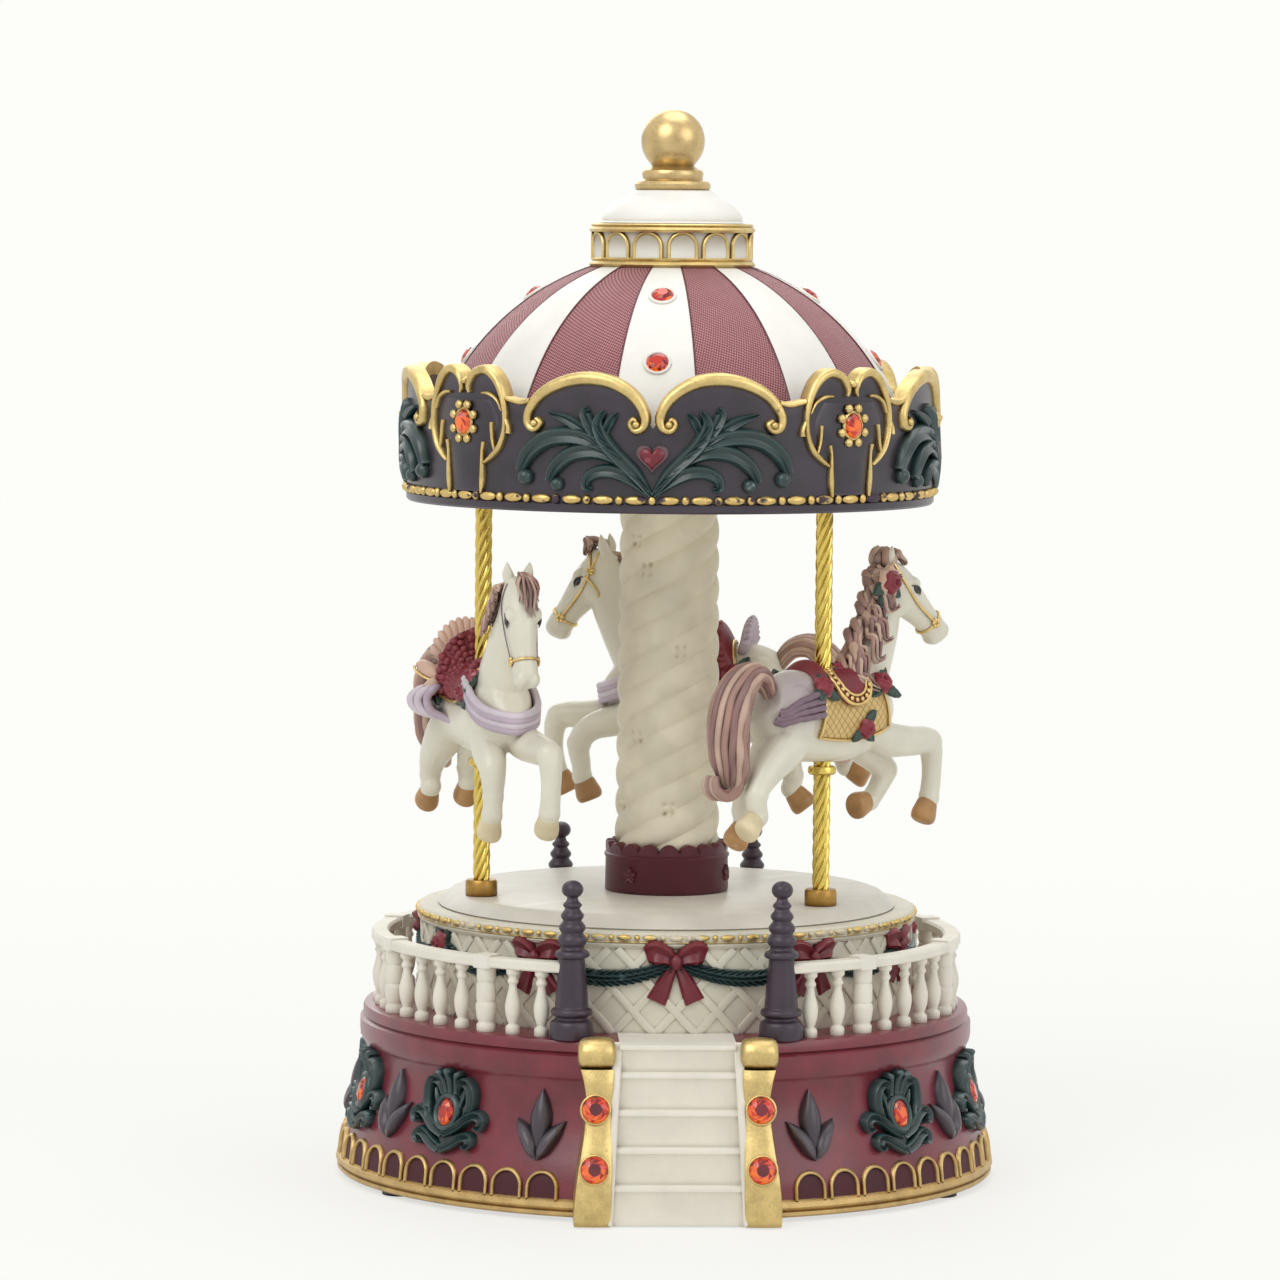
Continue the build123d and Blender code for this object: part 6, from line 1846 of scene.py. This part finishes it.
def first_horse():
    horse = Horse(1)
    horse.mane(0.5, 62, 0.7)
    horse.forelock(((-46, 0.28), (-34, 0.36), (-22, 0.42), (-10, 0.43), (2, 0.38), (14, 0.3)), 1.0, 0.6)
    horse.tail()
    horse.saddle(6.4, 1.2)
    horse.edging((-9.2, 7.8), (-76, 76), 0.4)
    horse.fan_cantle(9.0)
    horse.breast_sash()
    horse.swag(1)
    horse.swag(-1)
    for x, turn in ((8.6, 66), (9.6, 46), (-9.4, 74), (8.6, -66), (-9.4, -74)):
        horse.bloom(x, turn, 2.1)
    horse.bridle(CHEEK_STRAP, key="mauve", thick=0.12)
    horse.show()


def second_horse():
    horse = Horse(2)
    horse.mane(0.1, 70)
    horse.forelock(((-30, 0.22), (0, 0.26), (24, 0.22)), 1.2)
    horse.topknot()
    horse.tail()
    horse.saddle(1.6, 1.0, 0, 44)
    for side in (1, -1):
        horse.blanket("cloth", (-8.4, 13.0), (side * 38, side * 116), lambda x, a: 0.5)
        horse.edging((-8.2, 12.8), (side * 40, side * 114), 0.3)
        horse.skirt(side)
        for x, turn, r in ((-8.6, 52, 2.2), (12.8, 54, 2.3), (4.4, 100, 2.0), (3.0, 10, 1.9)):
            horse.bloom(x, side * turn, r, 1.1)
        breeching = [(-9.0, side * 74, 0.9), (-12.6, side * 80, 1.2), (-16.0, side * 90, 1.2),
                     (-18.2, side * 112, 0.9)]
        horse.drape(breeching, 4.0, 4, "mauve")
    horse.ear_rose()
    horse.bridle(CHEEK_STRAP)
    horse.show("dappled_glaze")


def third_horse():
    horse = Horse(3)
    horse.mane(0.12, 80)
    horse.forelock(((-26, 0.2), (-4, 0.22), (18, 0.2)), 2.0)
    horse.tail((1, 1, 0))
    horse.saddle(4.6, 1.2)
    horse.edging((-9.2, 7.8), (-76, 76), 0.4)
    horse.fan_cantle(7.0, "lavender")
    horse.breast_sash()
    for x, turn in ((8.6, 62), (-9.4, 70), (8.6, -62), (-9.4, -70)):
        horse.bloom(x, turn, 2.0)
    horse.bridle(CHEEK_STRAP, BROW_STRAP, jaw=JAW_STRAP)
    horse.show()


# Stage

def stage():
    """Pale floor, white air and four soft lamps."""
    paper_white = shade(253, 253, 249)
    scene = bpy.context.scene
    scene.view_settings.view_transform = "Standard"
    world = bpy.data.worlds.new("studio_air")
    scene.world = world
    world.use_nodes = True
    air = Nodes(world.node_tree)
    light = air.node("ShaderNodeBackground", None, {"Color": shade(250, 250, 252), "Strength": 0.42})
    white = air.node("ShaderNodeBackground", None, {"Color": paper_white})
    air.feed(air.tree.nodes["World Output"].inputs["Surface"],
             air.node("ShaderNodeMixShader", None, {0: air.backdrop(), 1: light, 2: white}))

    half = 6.0        # of the floor, in metres
    corners = [(-half, -half, 0), (half, -half, 0), (half, half, 0), (-half, half, 0)]
    mesh = bpy.data.meshes.new("floor")
    mesh.from_pydata(corners, [], [(0, 1, 2, 3)])
    floor = bpy.data.objects.new("floor", mesh)
    scene.collection.objects.link(floor)
    f = Finish("pale_floor", {"Base Color": shade(246, 246, 242), "Roughness": 0.9,
                              "Specular IOR Level": 0.1})
    paper = Value(f, f.shader.outputs[0])
    white = f.node("ShaderNodeEmission", None, {"Color": paper_white})
    away = f.node("ShaderNodeVectorMath", {"operation": "LENGTH"}, {0: f.spot()}, "Value")
    pale = f.node("ShaderNodeMixShader", None, {0: 0.68 + 0.32 * away.soft(0.1, 0.6), 1: paper, 2: white})
    f.feed(f.tree.nodes["Material Output"].inputs["Surface"],
           f.node("ShaderNodeMixShader", None, {0: f.backdrop(), 1: paper, 2: pale}))
    mesh.materials.append(f.material)

    aim = Vector((0, 0, 0.1))
    lamps = (("key_softbox", (-0.55, -0.75, 0.95), 0.9, 5.5), ("fill_softbox", (0.85, -0.7, 0.6), 0.9, 2.6),
             ("top_softbox", (0.1, 0.25, 1.2), 1.0, 4.5), ("back_softbox", (-0.2, 1.1, 0.7), 0.9, 2.5))
    for name, place, width, power in lamps:
        light = bpy.data.lights.new(name, "AREA")
        light.shape = "DISK"
        light.size = width
        light.energy = power
        lamp = bpy.data.objects.new(name, light)
        lamp.location = place
        lamp.rotation_euler = (aim - Vector(place)).to_track_quat("-Z", "Y").to_euler()
        scene.collection.objects.link(lamp)


def photograph_camera():
    """Camera a little left of the axis, rolled so that the object leans as it does in the photograph."""
    distance, height, pitch, turn, roll, aside = 1.160, 0.192, 4.23, -2.0, 0.49, -0.0057
    focal_pixels, image_pixels = 5844, 1280
    lens = bpy.data.cameras.new("photograph_camera")
    lens.sensor_width = 36.0
    lens.lens = lens.sensor_width * focal_pixels / image_pixels
    lens.clip_end = 20.0
    camera = bpy.data.objects.new("photograph_camera", lens)
    aim = Matrix.Rotation(radians(90 - pitch), 4, "X") @ Matrix.Rotation(radians(roll), 4, "Z")
    stand = Matrix.Rotation(radians(turn), 4, "Z") @ Matrix.Translation((aside, -distance, height))
    camera.matrix_world = stand @ aim
    bpy.context.scene.collection.objects.link(camera)
    bpy.context.scene.camera = camera


finish_frame()
base_body()
foot_trim()
tulips()
medallions()
stairs("front_steps", "stairs_front", 0)
stairs("rear_steps", "stairs_rear", 180)
stair_scrolls()
newel_posts()
fence()
lattice_drum()
drum_dressing()
turntable()
column()
column_collar()
poles()
valance_wall()
valance_gold()
valance_green()
valance_hearts()
valance_stones()
valance_beads()
dome()
gallery()
cap_and_finial()
first_horse()
second_horse()
third_horse()
stage()
photograph_camera()
